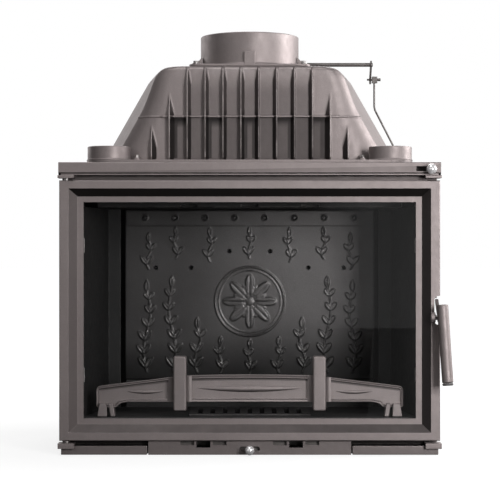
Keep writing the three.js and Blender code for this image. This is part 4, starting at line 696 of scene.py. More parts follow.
# %% Rounding, joining and marking
def dressed(name, material=None, edge=0.9, sharper_than=28, smooth_to=32, segments=2):
    """A CAD solid as it leaves the mould: a merged copy whose sharp edges are rounded over.
    The rounded faces carry the number edge = 1."""
    source = nodes[name].data
    count = len(source.vertices)
    places = np.empty(count * 3, dtype=np.float32)
    source.vertices.foreach_get("co", places)
    triangles = np.empty(len(source.loops), dtype=np.int32)
    source.loops.foreach_get("vertex_index", triangles)
    mesh = bpy.data.meshes.new(name + "_cast")
    mesh.from_pydata(places.reshape(-1, 3).tolist(), [], triangles.reshape(-1, 3).tolist())
    build = bmesh.new()
    build.from_mesh(mesh)
    bmesh.ops.remove_doubles(build, verts=build.verts, dist=2e-6)
    bmesh.ops.dissolve_limit(build, angle_limit=math.radians(0.6), verts=build.verts, edges=build.edges)
    layer = build.faces.layers.float.new("edge")
    if edge:
        sharp = [e for e in build.edges if e.calc_face_angle(0) > math.radians(sharper_than)]
        rounded = bmesh.ops.bevel(
            build, geom=sharp, offset=edge * MM, offset_type="OFFSET", segments=segments,
            profile=0.5, affect="EDGES", clamp_overlap=True)
        for face in rounded["faces"]:
            face[layer] = 1.0
    build.to_mesh(mesh)
    build.free()
    return finish_piece(name + "_cast", mesh, material or MATERIAL_OF[SLOT_OF[name]], [name], smooth_to)


def joined(piece, skins):
    """Adds closed skins, in millimetres, to a piece's mesh."""
    build = bmesh.new()
    build.from_mesh(piece.data)
    for points, faces in skins:
        extra = bpy.data.meshes.new(piece.name + "_web")
        extra.from_pydata((points * MM).tolist(), [], faces)
        build.from_mesh(extra)
    bmesh.ops.recalc_face_normals(build, faces=build.faces)
    build.to_mesh(piece.data)
    build.free()
    piece.data.set_sharp_from_angle(angle=math.radians(32))
    return piece


def marked(piece, key, rule):
    """Writes a number for each face of a piece, from its middle in millimetres and its normal."""
    mesh = piece.data
    middle = np.empty(len(mesh.polygons) * 3, dtype=np.float32)
    normal = np.empty_like(middle)
    mesh.polygons.foreach_get("center", middle)
    mesh.polygons.foreach_get("normal", normal)
    layer = mesh.attributes.new(key, "FLOAT", "FACE")
    numbers = rule(middle.reshape(-1, 3) / MM, normal.reshape(-1, 3))
    layer.data.foreach_set("value", numbers.astype(np.float32))
    return piece


print("solids that can be dressed:", len(nodes))

# %% [markdown]
# ## Body castings
# The body is bolted up from flat plates: base, side walls, back wall, front frame and top plate. The
# solids already have their ribs and openings, so they only lack what a mould gives them: rounded
# edges. A Bevel modifier would do it too, but rounding in the mesh also marks each edge for wear.

# %% Plates, walls and lugs
def evenly(share):
    """A rule for the number recess: the same share on every face."""
    return lambda middle, normal: np.full(len(middle), share)


def front_darkening(middle, normal):
    """A rule for the number recess: the faces to the front a little darker."""
    return 0.3 * (normal[:, 1] < -0.9)


def base_gap_shade(middle, normal):
    """A rule for painted shade: full on top of the rails, in the gap under the door, and the faces to
    the front a little darker.
    """
    return np.where(normal[:, 2] > 0.9, 1.0, front_darkening(middle, normal))


MOUTH_MIDDLE, MOUTH_HALF = 280, 210


def frame_shade(middle, normal):
    """A rule for painted shade in the gaps behind the door: full above and below the mouth, and half
    beside it.
    """
    return np.where(np.abs(middle[:, 2] - MOUTH_MIDDLE) > MOUTH_HALF, 1.0, 0.5)


def back_soot(middle, normal):
    """A soot rule: on the face to the fire."""
    return 0.85 * (normal[:, 1] < -0.5)


NOTCH_LEFT = 313.0
WEB_LEVEL = -204.5


def top_plate_shade(middle, normal):
    """A rule for painted shade: full behind the wire's notch and under the lip, and more to the right on
    top, where it dims the key lamp's sheen.
    """
    behind_notch = (np.abs(middle[:, 1] - WEB_LEVEL) < 3) & (middle[:, 0] > NOTCH_LEFT)
    rightward_shade = 0.4 * smooth_step(middle[:, 0], 40, 350)
    return np.where(behind_notch | (normal[:, 2] < -0.3), 1.0, rightward_shade)


ROUND_PART = {"sharper_than": 40, "smooth_to": 40}
castings = {}
# The last column is the rule for the number recess. It paints shade in the gaps round the door and over
# the whole left liner, makes the baffle, the grate and the fronts of the base and air cover darker, and
# puts soot on the back wall's face to the fire.
for name, edge, fireback_shade in [
    ("base_plate", 1.2, base_gap_shade), ("air_cover", 0.8, front_darkening), ("front_frame", 1.2, frame_shade),
    ("back_wall", 1.4, back_soot), ("top_plate", 1.3, None), ("side_wall_left", 1.4, None),
    ("side_wall_right", 1.4, None), ("latch_keeper", 0.6, None), ("hinge_lug_lower", 0.8, None),
    ("hinge_lug_upper", 0.8, None), ("plain_lug_lower", 0.8, None), ("plain_lug_upper", 0.8, None),
    ("baffle", 1.2, evenly(0.85)), ("firebox_floor", 1.2, None), ("side_liner_left", 1.2, evenly(0.6)),
    ("side_liner_right", 1.2, None), ("grate", 1.4, evenly(0.6)), ("ash_pan", 0.5, None),
]:
    lining = name.startswith(("firebox_floor", "side_liner"))
    castings[name] = dressed(name, liner_iron if lining else None, edge=edge)
    if fireback_shade:
        marked(castings[name], "recess", fireback_shade)
for name in ("hinge_pin_lower", "hinge_pin_upper"):
    castings[name] = dressed(name, edge=0.5, **ROUND_PART)
# A web closes the wire's notch from behind; the rule below paints it dark as shade.
notch = rectangle(NOTCH_LEFT + 1, 342.6, 541, 555)
joined(castings["top_plate"], [slab(notch, WEB_LEVEL + 2.5, WEB_LEVEL - 2.5, "y", 2, 0.8)])
marked(castings["top_plate"], "recess", top_plate_shade)
print("castings dressed:", len(castings))

# %% [markdown]
# ## Door frame, glass and linkage
# The door is one casting with a broad flat band, a slope down to the glass and a narrow inner lip.
# The handle, the damper and its wire are small machined or bent parts. All of them could be drawn
# again, but the solids have their shapes, so they get the same rounding. The crank is made thinner.

# %% Door and small parts
CRANK_FACE = 250
SLOPE_LEVEL = -222


def squeezed(piece, plane, share):
    """Moves each point towards an upright plane at an x in millimetres: x becomes p + share (x - p)."""
    mesh = piece.data
    points = np.empty(len(mesh.vertices) * 3, dtype=np.float32)
    mesh.vertices.foreach_get("co", points)
    points = points.reshape(-1, 3)
    points[:, 0] = plane * MM + share * (points[:, 0] - plane * MM)
    mesh.vertices.foreach_set("co", points.ravel())
    return piece


def slope_shade(middle, normal):
    """A rule for painted shade: on the slopes down to the glass, least on the left one and most on the
    one that faces down."""
    on_slope = (np.abs(normal).max(axis=1) < 0.9) & (np.abs(middle[:, 1] - SLOPE_LEVEL) < 7)
    facing = 0.35 * np.clip(-normal[:, 2], 0, 1) + 0.25 * np.abs(normal[:, 2])
    facing += 0.4 * np.clip(-normal[:, 0], 0, 1) - 0.3 * np.clip(normal[:, 0], 0, 1)
    return (0.55 + facing) * on_slope


door_parts = {"door_frame": marked(dressed("door_frame", edge=1.1, segments=3), "recess", slope_shade)}
for name, finish, edge, rounding in [
    ("glass_clip_lower_left", None, 0.4, {}), ("glass_clip_lower_right", None, 0.4, {}),
    ("glass_clip_upper_left", None, 0.4, {}), ("glass_clip_upper_right", None, 0.4, {}),
    ("handle_boss", None, 0.7, ROUND_PART), ("handle_lever", None, 0.6, ROUND_PART),
    ("handle_spindle", None, 0.5, ROUND_PART), ("glass_gasket", None, 0, {}),
    ("damper_plate", None, 0.8, ROUND_PART), ("damper_shaft", wire_steel, 0.6, ROUND_PART),
    ("damper_crank", wire_steel, 0.5, ROUND_PART), ("pull_wire", wire_steel, 0, {"smooth_to": 80}),
    ("wire_clamp", wire_steel, 0.5, ROUND_PART), ("clamp_screw", wire_steel, 0.4, ROUND_PART),
    ("air_slider", wire_steel, 0.4, {}), ("air_knob_stem", None, 0.4, ROUND_PART),
]:
    door_parts[name] = dressed(name, finish, edge=edge, **rounding)
squeezed(door_parts["damper_crank"], CRANK_FACE, 0.5)
bolts = [dressed(f"{kind}_bolt_{row}_{side}", edge=0.4, **ROUND_PART)
         for row in ("front", "back") for side in ("left", "right") for kind in ("hood", "flue")]
nodes["door_glass"].data.materials.clear()
nodes["door_glass"].data.materials.append(glass_plate)
print("door and linkage parts dressed:", len(door_parts), "and bolts:", len(bolts))

# %% [markdown]
# ## Smoke hood
# The hood gathers the smoke under the flue. It is one casting: an upright front with twelve ribs,
# five sunk bays under a ledge, broad rounded corners, and sloped flanks that flare out behind them.
# It could be carved with booleans, but cast ribs grow out of the wall in a curve. So the front is a
# height above a wall, worked out for each place across and up, and the same columns of points run
# on round the corners, flanks and back, over the roof to the flue, and down the inside.

# %% The hood's front
HOOD_BASE = 566.3
HOOD_RISE = 189.0
HOOD_HALF = 293.5
HOOD_FRONT = -125.0
HOOD_BACK = 140.0
FLANK_SLOPE = math.radians(60)
SHOULDER = 45.0
BROW = 10.0
CORNER = 80.0
FLARE = 22.0
SPREAD = 11.0
CORNER_TURN = math.radians(50)
FIRST_TURN = math.radians(22)
RIB_PITCH = 35.2
RIB_HALF = 1.5
RIB_PROUD = 12.5
RIB_ROUND = 1.0
RIB_RUNOUT = 36
RIB_SET_IN = 62
RIB_FALL = 2.0
SHORT_RIB_FALL = 1.35
ROOT_ROUND = 2.4
LEDGE_PROUD = 3.6
SEAM_PROUD = 1.1
LEDGE_RISE = 88.4
BAY_SINK = 12.0
HOOD_WALL = 8.0
FLUE_BORE = 94.0


def bay_depth(x, d):
    """How far the front is sunk: 12 mm in every second gap between the middle ribs, under the ledge."""
    gap = np.round(x / RIB_PITCH)
    inside = np.abs(x - gap * RIB_PITCH) < RIB_PITCH / 2 - RIB_HALF
    sunk = inside & (np.abs(gap) <= 4) & (gap % 2 == 0)
    below = 1 - smooth_step(d, LEDGE_RISE - 3.8, LEDGE_RISE - 2.6)
    return BAY_SINK * sunk * smooth_step(d, 5, 7.5) * below


def seam_height(d):
    """How far the parting line stands out: a flat ridge at the ledge's height with sloped sides."""
    return SEAM_PROUD * smooth_step(2.2 - np.abs(d - LEDGE_RISE), 0, 1.2)


def front_relief(x, d):
    """How far the ribbed front stands out from the plain wall. A rib has a round crest. Towards the
    middle of the hood it falls away steadily, as the casting's draft does, and on its other side it
    drops into a small quarter circle. The ledge is a flat ridge with sloped sides."""
    rib = (np.floor(x / RIB_PITCH) + 0.5) * RIB_PITCH
    off = np.abs(x - rib)
    inward = (x - rib) * np.sign(rib) < 0
    short = (HOOD_HALF - RIB_SET_IN - np.abs(rib)) * math.tan(FLANK_SLOPE)
    top = np.minimum(HOOD_RISE + 4, short)
    tall = RIB_PROUD * np.clip((top - d) / RIB_RUNOUT, 0, 1) * (0.75 + 0.25 * np.clip((d - 2) / 6, 0, 1))
    tall = tall * (d > 2) * (np.abs(rib) < 6 * RIB_PITCH)
    over = np.clip(off - (RIB_HALF - RIB_ROUND), 0, RIB_ROUND)
    crest = np.maximum(tall - (RIB_ROUND - np.sqrt(RIB_ROUND ** 2 - over ** 2)), 0)
    away = np.clip(off - RIB_HALF, 0, ROOT_ROUND)
    root = ROOT_ROUND - np.sqrt(ROOT_ROUND ** 2 - (ROOT_ROUND - away) ** 2)
    sink = bay_depth(x, d)
    drop = np.minimum(root, tall + sink) - sink
    fall = np.where(np.abs(rib) > 4.2 * RIB_PITCH, SHORT_RIB_FALL, RIB_FALL)
    draft = np.maximum(tall - RIB_ROUND - fall * (off - RIB_HALF), drop)
    relief = np.where(off <= RIB_HALF, crest, np.where(inward, draft, drop))
    ledge = LEDGE_PROUD * smooth_step(2.8 - np.abs(d - LEDGE_RISE), 0, 1.2)
    ledge = np.maximum(ledge * (np.abs(x) < 5 * RIB_PITCH), seam_height(d))
    flank = inward & (off > RIB_HALF - 0.05) & (draft > drop + 0.05)
    return np.maximum(relief, ledge), off, tall, sink, flank


print("hood front:", RIB_PROUD, "mm ribs every", RIB_PITCH, "mm, bays sunk by", BAY_SINK, "mm")

# %% [markdown]
# ## The hood's rings
# A ring is the hood's outline at one height. It runs along the front, round the right corner, out
# over the flared flank, along the back and home on the left. The rows lie closer together where the
# wall turns: at the foot, at the ledge and over the brow.

# %% Rings of the hood
def flank_half(d, half, rise, shoulder):
    """Half the hood's width at a height: a straight slope, then a circle over to the roof."""
    centre = rise - shoulder
    start = rise - shoulder * (1 - math.cos(FLANK_SLOPE))
    roof = half - start / math.tan(FLANK_SLOPE) - shoulder * math.sin(FLANK_SLOPE)
    arc = roof + np.sqrt(np.maximum(shoulder ** 2 - np.maximum(d - centre, 0) ** 2, 0))
    return np.where(d <= start, half - d / math.tan(FLANK_SLOPE), arc)


rib_offsets = np.array([0, 0.5, 0.8, 1.1, 1.35, 1.5, 1.505, 1.8, 2.2, 2.8, 3.9, 5.5, 7.2, 9.0, 10.6,
                        12.0, 14.0])
rib_lines = (np.arange(-6, 6) + 0.5) * RIB_PITCH
front_lines = np.unique(np.round(np.concatenate([
    (rib_lines[:, None] + rib_offsets).ravel(), (rib_lines[:, None] - rib_offsets).ravel(),
    np.arange(-6, 7) * RIB_PITCH, np.arange(216, 250, 6.0), -np.arange(216, 250, 6.0)]), 4))
turns = np.append(np.linspace(FIRST_TURN, CORNER_TURN - 0.02, 8), CORNER_TURN)
back_turns = np.linspace(math.pi / 2, 0, 8)
back_shares = np.linspace(0.8, 0, 5)


def hood_ring(d, half, front, back, rise, shoulder, brow, corner, spread, outside):
    """The hood's outline at each height d above its base (rows x columns x 3). Round the front corner
    the point is centre + r (sin a, -cos a). From there a straight flank runs out to the full width."""
    d = np.asarray(d, dtype=float)[:, None]
    wide = flank_half(d, half, rise, shoulder)
    rounding = np.maximum(d - (rise - brow), 0)
    set_in = brow - np.sqrt(np.maximum(brow ** 2 - rounding ** 2, 0))
    r = corner * (1 - 0.58 * d / rise)
    flare = FLARE * (1 - 0.62 * smooth_step(d, 90, rise))
    spread = spread + 1.2 * np.minimum(d / 160, 1)
    centre = wide - flare - r * math.sin(CORNER_TURN)
    limit = centre + r * math.sin(FIRST_TURN)
    x = np.clip(front_lines[None], -limit, limit)
    fall = r - np.sqrt(r ** 2 - np.clip(np.abs(x) - centre, 0, r) ** 2)
    y = front + set_in + fall
    relief, off, tall, sink, flank = front_relief(x, d)
    if outside:
        y = y - relief * (np.abs(x) < limit - 0.01)
        seam = seam_height(d)
    else:
        y = y + BAY_SINK * (np.abs(x) < 5 * RIB_PITCH) * (1 - smooth_step(d, 88, 96))
        seam = 0 * d
    corner_x = centre + (r + seam) * np.sin(turns)
    corner_y = front + set_in + r - (r + seam) * np.cos(turns)
    crease_y = corner_y[:, -1:]
    flank_y = crease_y + np.array([0.01, 0.5, 1]) * (20 - crease_y)
    full = wide + spread
    flank_x = wide - flare + np.array([0.01, 0.54, 1]) * (flare + spread)
    back_r = r * 0.7
    back_x = full - back_r + back_r * np.sin(back_turns)
    back_y = back - set_in - back_r + back_r * np.cos(back_turns)
    end_x = (full - back_r) * back_shares
    end_y = (back - set_in) * np.ones_like(end_x)
    right_x = np.concatenate([corner_x, flank_x, back_x, end_x], axis=1)
    right_y = np.concatenate([corner_y, flank_y, back_y, end_y], axis=1)
    left_x, left_y = -right_x[:, ::-1][:, 1:], right_y[:, ::-1][:, 1:]
    ring_x = np.concatenate([x, right_x, left_x], axis=1)
    ring_y = np.concatenate([y, right_y, left_y], axis=1)
    ring_z = np.broadcast_to(HOOD_BASE + d, ring_x.shape)
    return np.stack([ring_x, ring_y, ring_z], axis=-1), (off, tall, sink, flank)


def to_flue(ring, radius, shares):
    """Rows that carry a ring over to a circle about the flue's axis: (1-t) ring + t circle."""
    angle = np.arctan2(ring[:, 1], ring[:, 0])
    circle = np.stack([radius * np.cos(angle), radius * np.sin(angle), ring[:, 2]], axis=-1)
    t = np.asarray(shares)[:, None, None]
    return (1 - t) * ring[None] + t * circle[None]


foot_rows = [0, 1.9, 2.1, 3.5, 5, 5.6, 6.2, 6.9, 7.5, 8, 11]
ledge_rows = np.array([-7, -4.2, -3.8, -3.2, -2.9, -2.6, -2.2, -1.6, -0.8, 0, 0.8, 1.6, 2.2, 2.9, 4, 7])
brow_rows = HOOD_RISE - BROW + BROW * np.sin(np.linspace(0, math.pi / 2, 9))
outer_rise = np.unique(np.concatenate([
    foot_rows, np.arange(15, 80, 6.5), LEDGE_RISE + ledge_rows, np.arange(98, 172, 6.5), brow_rows]))
inner_top = HOOD_RISE - HOOD_WALL
inner_rise = np.array([0, 30, 60, 86, 90, 96, 130, 150, 160, 170, 176, inner_top])
outside, marks = hood_ring(outer_rise, HOOD_HALF, HOOD_FRONT, HOOD_BACK, HOOD_RISE,
                           SHOULDER, BROW, CORNER, SPREAD, True)
inside, _ = hood_ring(inner_rise, HOOD_HALF - HOOD_WALL / math.sin(FLANK_SLOPE),
                      HOOD_FRONT + HOOD_WALL, HOOD_BACK - HOOD_WALL, inner_top,
                      SHOULDER - HOOD_WALL, BROW - HOOD_WALL / 2, CORNER - HOOD_WALL, SPREAD, False)
over_roof = to_flue(outside[-1], FLUE_BORE, [0.2, 0.45, 0.7, 1.0])
under_roof = to_flue(inside[-1], FLUE_BORE, [1.0, 0.6, 0.3])
hood_rings = np.concatenate([outside, over_roof, under_roof, inside[::-1]])
print("hood:", len(outer_rise), "rows outside, each of", hood_rings.shape[1], "points")

# %% [markdown]
# ## Painted shade on the hood
# Shade is painted on the ribs' drafted sides, in a soft band beside their roots, on the panels and in
# the bays, and a painted shadow lies under the ledge. The crests are rubbed bright, and painted
# highlights lie on the ledge and over the brow. The two numbers could be painted by hand, but here
# they follow from the same heights as the shape, so they stay on it.

# %% Painted shade, highlights and rubbed edges of the hood
LUG_HALF = 7
LUG_TOP = 6

off, tall, sink, flank = marks
rise = outer_rise[:, None]
below_ledge = rise < LEDGE_RISE
# Painted shade in the number recess: the ribs' drafted sides, a soft band beside their roots, the panels,
# darker towards the right, and the sunk bays, darkest under the ledge as its painted shadow.
root_shade = 0.15 * np.exp(-(off - RIB_HALF) / 4) * (off > RIB_HALF - 0.05) * np.clip(tall / 8, 0, 1)
flank_shade = 0.6 + 0.3 * (1 - smooth_step(rise, LEDGE_RISE - 4, LEDGE_RISE + 20))
panel_shade = np.where(below_ledge, 0.62, 0.4 * (1 - smooth_step(rise, 130, 176)))
shaded_half = np.where(below_ledge, 4.5, 3.5) * RIB_PITCH
panels = panel_shade * (np.abs(front_lines) < shaded_half) * (1 + 0.25 * front_lines / (5 * RIB_PITCH))
bay_shadow = np.where(rise > 78, sink > 0.4, sink / BAY_SINK) * (0.5 + 0.5 * smooth_step(rise, 66, 80))
shaded = np.maximum.reduce([np.where(flank, flank_shade, root_shade), panels, bay_shadow])
# The number edge: rubbed crests, and painted highlights on the ledge and over the brow; no shade on the
# ledge.
crests = (off < RIB_HALF) * np.clip(tall / 4, 0, 1)
ledge_highlight = np.abs(rise - LEDGE_RISE - 0.8) < 1.2
brow_highlight = smooth_step(rise, 160, 184) * (np.abs(front_lines) < 6 * RIB_PITCH)
recess, wear_and_highlight = np.zeros(hood_rings.shape[:2]), np.zeros(hood_rings.shape[:2])
ribbed = (slice(len(outer_rise)), slice(len(front_lines)))
recess[ribbed] = np.clip(shaded, 0, 1) * (1 - ledge_highlight)
wear_and_highlight[ribbed] = np.maximum(np.maximum(crests, brow_highlight), 0.5 * ledge_highlight)

lug_skins = []
for node in [f"hood_bolt_{row}_{side}" for row in ("front", "back") for side in ("left", "right")]:
    low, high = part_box(node)
    bolt_x, bolt_y = (low.x + high.x) / 2 / MM, (low.y + high.y) / 2 / MM
    reach = (bolt_y - 8, HOOD_FRONT + 45) if bolt_y < 0 else (HOOD_BACK - 45, bolt_y + 8)
    lug = rectangle(bolt_x - LUG_HALF, bolt_x + LUG_HALF, *reach)
    lug_skins.append(slab(lug, HOOD_BASE, HOOD_BASE + LUG_TOP, "z", 5, 1.2))
hood = make_piece("hood_shell", [skin_of(hood_rings, looped=True), *lug_skins], paint, ["hood"], 38,
                  {"recess": recess.ravel(), "edge": wear_and_highlight.ravel()})
print("hood:", len(hood.data.polygons), "faces and", len(lug_skins), "lugs")

# %% [markdown]
# ## Flue collar
# The collar takes the chimney pipe. It is a tube on a square foot, with a lug in front, a boss on
# each side for the damper's shaft, and small webs. The tube and its foot are one skin: each row is a
# ring whose distance from the axis blends from a rounded square to a circle.

# %% Flue collar
FOOT_LEVEL = 755.6
FOOT_TOP = 760.6
FLUE_RIM = 826.1
FLUE_OUTER = 100.0
FOOT_HALF_WIDTH = 121.0
FOOT_HALF_DEPTH = 115.5
SHAFT_LEVEL = 771.1
TUBE_MIDDLE = 790.0
FOOT_FILLET = 6.0
RIM_ROUND = 2.2


def foot_ring(angle, inset):
    """The foot's edge at each angle: (|cos/w|^p + |sin/h|^p)^(-1/p), a square with round corners."""
    power = 16
    wide = np.abs(np.cos(angle) / (FOOT_HALF_WIDTH - inset)) ** power
    deep = np.abs(np.sin(angle) / (FOOT_HALF_DEPTH - inset)) ** power
    return (wide + deep) ** (-1 / power)


angles = np.linspace(0, 2 * math.pi, 160, endpoint=False)
foot_course = [(foot_ring(angles, 1.0), FOOT_LEVEL), (foot_ring(angles, 0), FOOT_LEVEL + 1.0),
               (foot_ring(angles, 0), FOOT_TOP - 1.2), (foot_ring(angles, 0.4), FOOT_TOP - 0.4),
               (foot_ring(angles, 1.4), FOOT_TOP)]
fillet = np.linspace(0, math.pi / 2, 6)
tube_course = [(FLUE_OUTER + FOOT_FILLET * (1 - math.sin(a)), FOOT_TOP + FOOT_FILLET * (1 - math.cos(a)))
               for a in fillet]
tube_course += [(FLUE_OUTER, TUBE_MIDDLE), (FLUE_OUTER, FLUE_RIM - RIM_ROUND)]
tube_course += [(FLUE_OUTER - RIM_ROUND * (1 - math.cos(a)), FLUE_RIM - RIM_ROUND * (1 - math.sin(a)))
                for a in fillet[1:]]
tube_course += [(FLUE_BORE + 1.6, FLUE_RIM), (FLUE_BORE + 0.5, FLUE_RIM - 0.5)]
tube_course += [(FLUE_BORE, FLUE_RIM - 1.8), (FLUE_BORE, TUBE_MIDDLE), (FLUE_BORE, FOOT_LEVEL)]
flue_rings = np.array([
    np.stack([radius * np.cos(angles), radius * np.sin(angles), np.full_like(angles, height)], axis=-1)
    for radius, height in foot_course + tube_course])
flue_points, flue_faces = skin_of(flue_rings, looped=True)
rim_mark = (np.abs(flue_points[:, 2] - FLUE_RIM) < 2.3) * 0.8

flue_extras = [slab(rectangle(-107.5, -93.0, FOOT_TOP - 1, FOOT_TOP + 26), -11, 11, "x", 2.5, 1.2)]
for side in (-1, 1):
    boss = [(0.1, 0), (8.5, 0), (8.5, 9.0), (7.6, 10.4), (6.5, 11), (4.4, 11), (4.3, 10.4), (4.3, 0.5)]
    flue_extras.append(turned(boss, (side * 97.0, 0, SHAFT_LEVEL), (side, 0, 0), 32))
    web = mirrored([(97.0, FOOT_TOP - 1), (113.5, FOOT_TOP - 1), (113.5, FOOT_TOP + 2),
                    (97.0, FOOT_TOP + 22)], side)
    flue_extras.append(slab(web, -34, -28, "y", 1.2, 0.8))
make_piece("flue_collar_casting", [(flue_points, flue_faces), *flue_extras], paint, ["flue_collar"], 35,
           {"edge": rim_mark})
print("flue collar:", len(flue_faces), "faces and", len(flue_extras), "lugs, bosses and webs")

# %% [markdown]
# ## Hot air collars
# Two short spigots take pipes for warm air, and each is closed by a lid with a small pull. Both are
# round all the way, so each is one turned profile. A lathe would make them the same way.

# %% Hot air collars and lids
SPIGOT_OUTER = 42.0
SPIGOT_INNER = 37.0

for side in ("left", "right"):
    low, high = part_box(f"hot_air_collar_{side}")
    middle = ((low.x + high.x) / 2 / MM, (low.y + high.y) / 2 / MM, low.z / MM)
    tall = (high.z - low.z) / MM
    wall = [(SPIGOT_INNER - 4, 0.6), (SPIGOT_OUTER + 1.6, 0), (SPIGOT_OUTER + 1.8, 1.2)]
    wall += [(SPIGOT_OUTER + 1.8 * (1 - math.sin(a)), 1.2 + 3 * (1 - math.cos(a))) for a in fillet]
    wall += [(SPIGOT_OUTER, tall - 1.8), (SPIGOT_OUTER - 0.5, tall - 0.6), (SPIGOT_OUTER - 1.6, tall)]
    wall += [(SPIGOT_INNER + 1.2, tall), (SPIGOT_INNER + 0.3, tall - 0.4), (SPIGOT_INNER, tall - 1.4)]
    wall += [(SPIGOT_INNER, tall - 7.4), (SPIGOT_INNER - 4, tall - 7.4)]
    make_piece(f"hot_air_collar_{side}_casting", [turned(wall, middle, (0, 0, 1), 72)], paint,
               [f"hot_air_collar_{side}"], 35)
    lid_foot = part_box(f"collar_lid_{side}")[0].z / MM
    lid = [(0, 0), (36.2, 0), (36.7, 0.5), (36.7, 3.2), (36.0, 4.0), (30, 4.0), (28.8, 2.9), (9, 2.6),
           (7.5, 3.9), (6.6, 6.4), (4.8, 6.9), (0, 6.9)]
    make_piece(f"collar_lid_{side}_casting",
               [turned(lid, (*middle[:2], lid_foot), (0, 0, 1), 64, looped=False)],
               paint, [f"collar_lid_{side}"], 35)
print("two hot air collars and their lids made")

# %% [markdown]
# ## Log guard
# The guard keeps the logs off the glass. It is a bar with sunk panels, a lens-shaped swelling in each
# panel, two posts with round edges, and two feet of two toes each. Every member is a slab whose rings
# are shrunk copies of one outline, so the rims keep one width round every corner.

# %% Log guard
GUARD_FRONT = -160.0
GUARD_BACK = -148.0
POST_MIDDLE = 135.0
POST_HALF = 12.85
PANEL_HALF = 122.0
PANEL_TOP = 149.9
PANEL_ARCH = 1.8
PANEL_RIM = 6.0
BAR_LOW = 96.7
WING_START, WING_TOP = 148, 145.4
WING_RIM = 4.6


def lens(middle_x, middle_z, half_length, half_height, proud, y):
    """A swelling that comes to a point at each end: at a share s of its length its section is an
    ellipse of (1 - s^2) times its height and depth."""
    share = np.linspace(-1, 1, 33)
    angle = np.linspace(0, 2 * math.pi, 20, endpoint=False)
    size = np.maximum(1 - share ** 2, 0.002)[:, None]
    x = middle_x + (share * half_length)[:, None] + 0 * angle
    z = middle_z - 1.6 * (1 - share ** 2)[:, None] + half_height * size * np.sin(angle)
    return skin_of(np.stack([x, y - proud * size * np.cos(angle), z], axis=-1))


def cove(edge_x, way, low, high, reach=10.0):
    """A hollow quarter circle in the corner between a post and the bar, all the way up."""
    t = np.linspace(0, math.pi / 2, 8)
    far_x, back_y = edge_x + way * reach, GUARD_BACK - 0.5
    hollow = np.stack([far_x - way * reach * np.cos(t), GUARD_FRONT - reach * (1 - np.sin(t))], axis=1)
    outline = np.concatenate([[(edge_x, back_y)], hollow, [(far_x, back_y)]])
    return skin_of([laid(outline, low, "z"), laid(outline, high, "z")])


arch = np.linspace(1, -1, 9)
centre_panel = np.concatenate([
    [(-PANEL_HALF, BAR_LOW), (PANEL_HALF, BAR_LOW)],
    np.stack([arch * PANEL_HALF, PANEL_TOP - PANEL_ARCH * arch ** 2], axis=1)])
guard_skins = [slab(centre_panel, GUARD_BACK, GUARD_FRONT, "y", 2.0, 1.2, rim=PANEL_RIM, recess=4.6),
               lens(0, 123.5, 103, 6.2, 4.8, GUARD_FRONT + 4.4)]
for side in (-1, 1):
    wing = mirrored([(WING_START, BAR_LOW), (238, BAR_LOW), (252, 93.5), (259, 86), (298, 86),
                     (298, 121), (295, 126.5), (289, 128.2), (WING_START, WING_TOP)], side)
    guard_skins.append(slab(wing, GUARD_BACK, GUARD_FRONT, "y", 4.0, 1.2, rim=WING_RIM, recess=4.0))
    guard_skins.append(lens(side * 203, 117.5, 37, 3.6, 4.0, GUARD_FRONT + 3.8))
    post = rectangle(side * POST_MIDDLE - POST_HALF, side * POST_MIDDLE + POST_HALF, 79.8, 186.4)
    guard_skins.append(slab(post, GUARD_BACK, GUARD_FRONT - 22, "y", 4.5, 3.6))
    guard_skins.append(cove(side * (POST_MIDDLE - POST_HALF), -side, 97.2, 147.6))
    guard_skins.append(cove(side * (POST_MIDDLE + POST_HALF), side, 97.2, 144.4))
    for toe in ([(260.6, 68.9), (269.7, 68.9), (273.6, 94), (264.5, 94)],
                [(276.0, 68.9), (295.7, 68.9), (291.5, 94), (277.5, 94)]):
        guard_skins.append(slab(mirrored(toe, side), GUARD_FRONT + 24, GUARD_FRONT - 12, "y", 2.0, 1.6))
guard = make_piece("log_guard_casting", guard_skins, guard_iron, ["log_guard"], 40)


def guard_shade(middle, normal):
    """A rule for painted shade: under every ledge, a painted shadow on the sunk floors along their top
    rims, and a little more on the left.
    """
    x, y, z = np.abs(middle[:, 0]), middle[:, 1], middle[:, 2]
    panel_rim = PANEL_TOP - PANEL_ARCH * (x / PANEL_HALF) ** 2 - PANEL_RIM
    wing_rim = WING_TOP - 0.122 * (x - WING_START) - WING_RIM
    rim_level = np.where(x < POST_MIDDLE - 5, panel_rim, wing_rim)
    on_floor = (y > GUARD_FRONT + 1) & (y < GUARD_FRONT + 5) & (z > 100) & (normal[:, 1] < -0.2)
    strip = on_floor * (1 - smooth_step(rim_level - z, 1.5, 8.0)) * 0.85
    under_shade = 0.9 * np.clip(-normal[:, 2], 0, 1)
    return np.maximum(np.maximum(under_shade, strip), 0.22 * smooth_step(-middle[:, 0], 0, 150))


marked(guard, "recess", guard_shade)
print("log guard made of", len(guard_skins), "skins")

# %% [markdown]
# ## Fireback
# The plate behind the fire is cast with a shallow relief. Here it is leaf sprays climbing on stems
# round a rosette, a row of ringed bosses at the top and six holes. The relief is a height over a fine
# grid: each leaf is a lens with a vein, each stem a ridge, and the highest form wins.

# %% Forms of the relief
BACK_HALF = 257.0
BACK_LOW = 124.6
BACK_HIGH = 475.0
BACK_FACE = 120.0
BACK_REAR = 130.0
ROSETTE_LEVEL = 285.8
GRID_STEP = 1.55


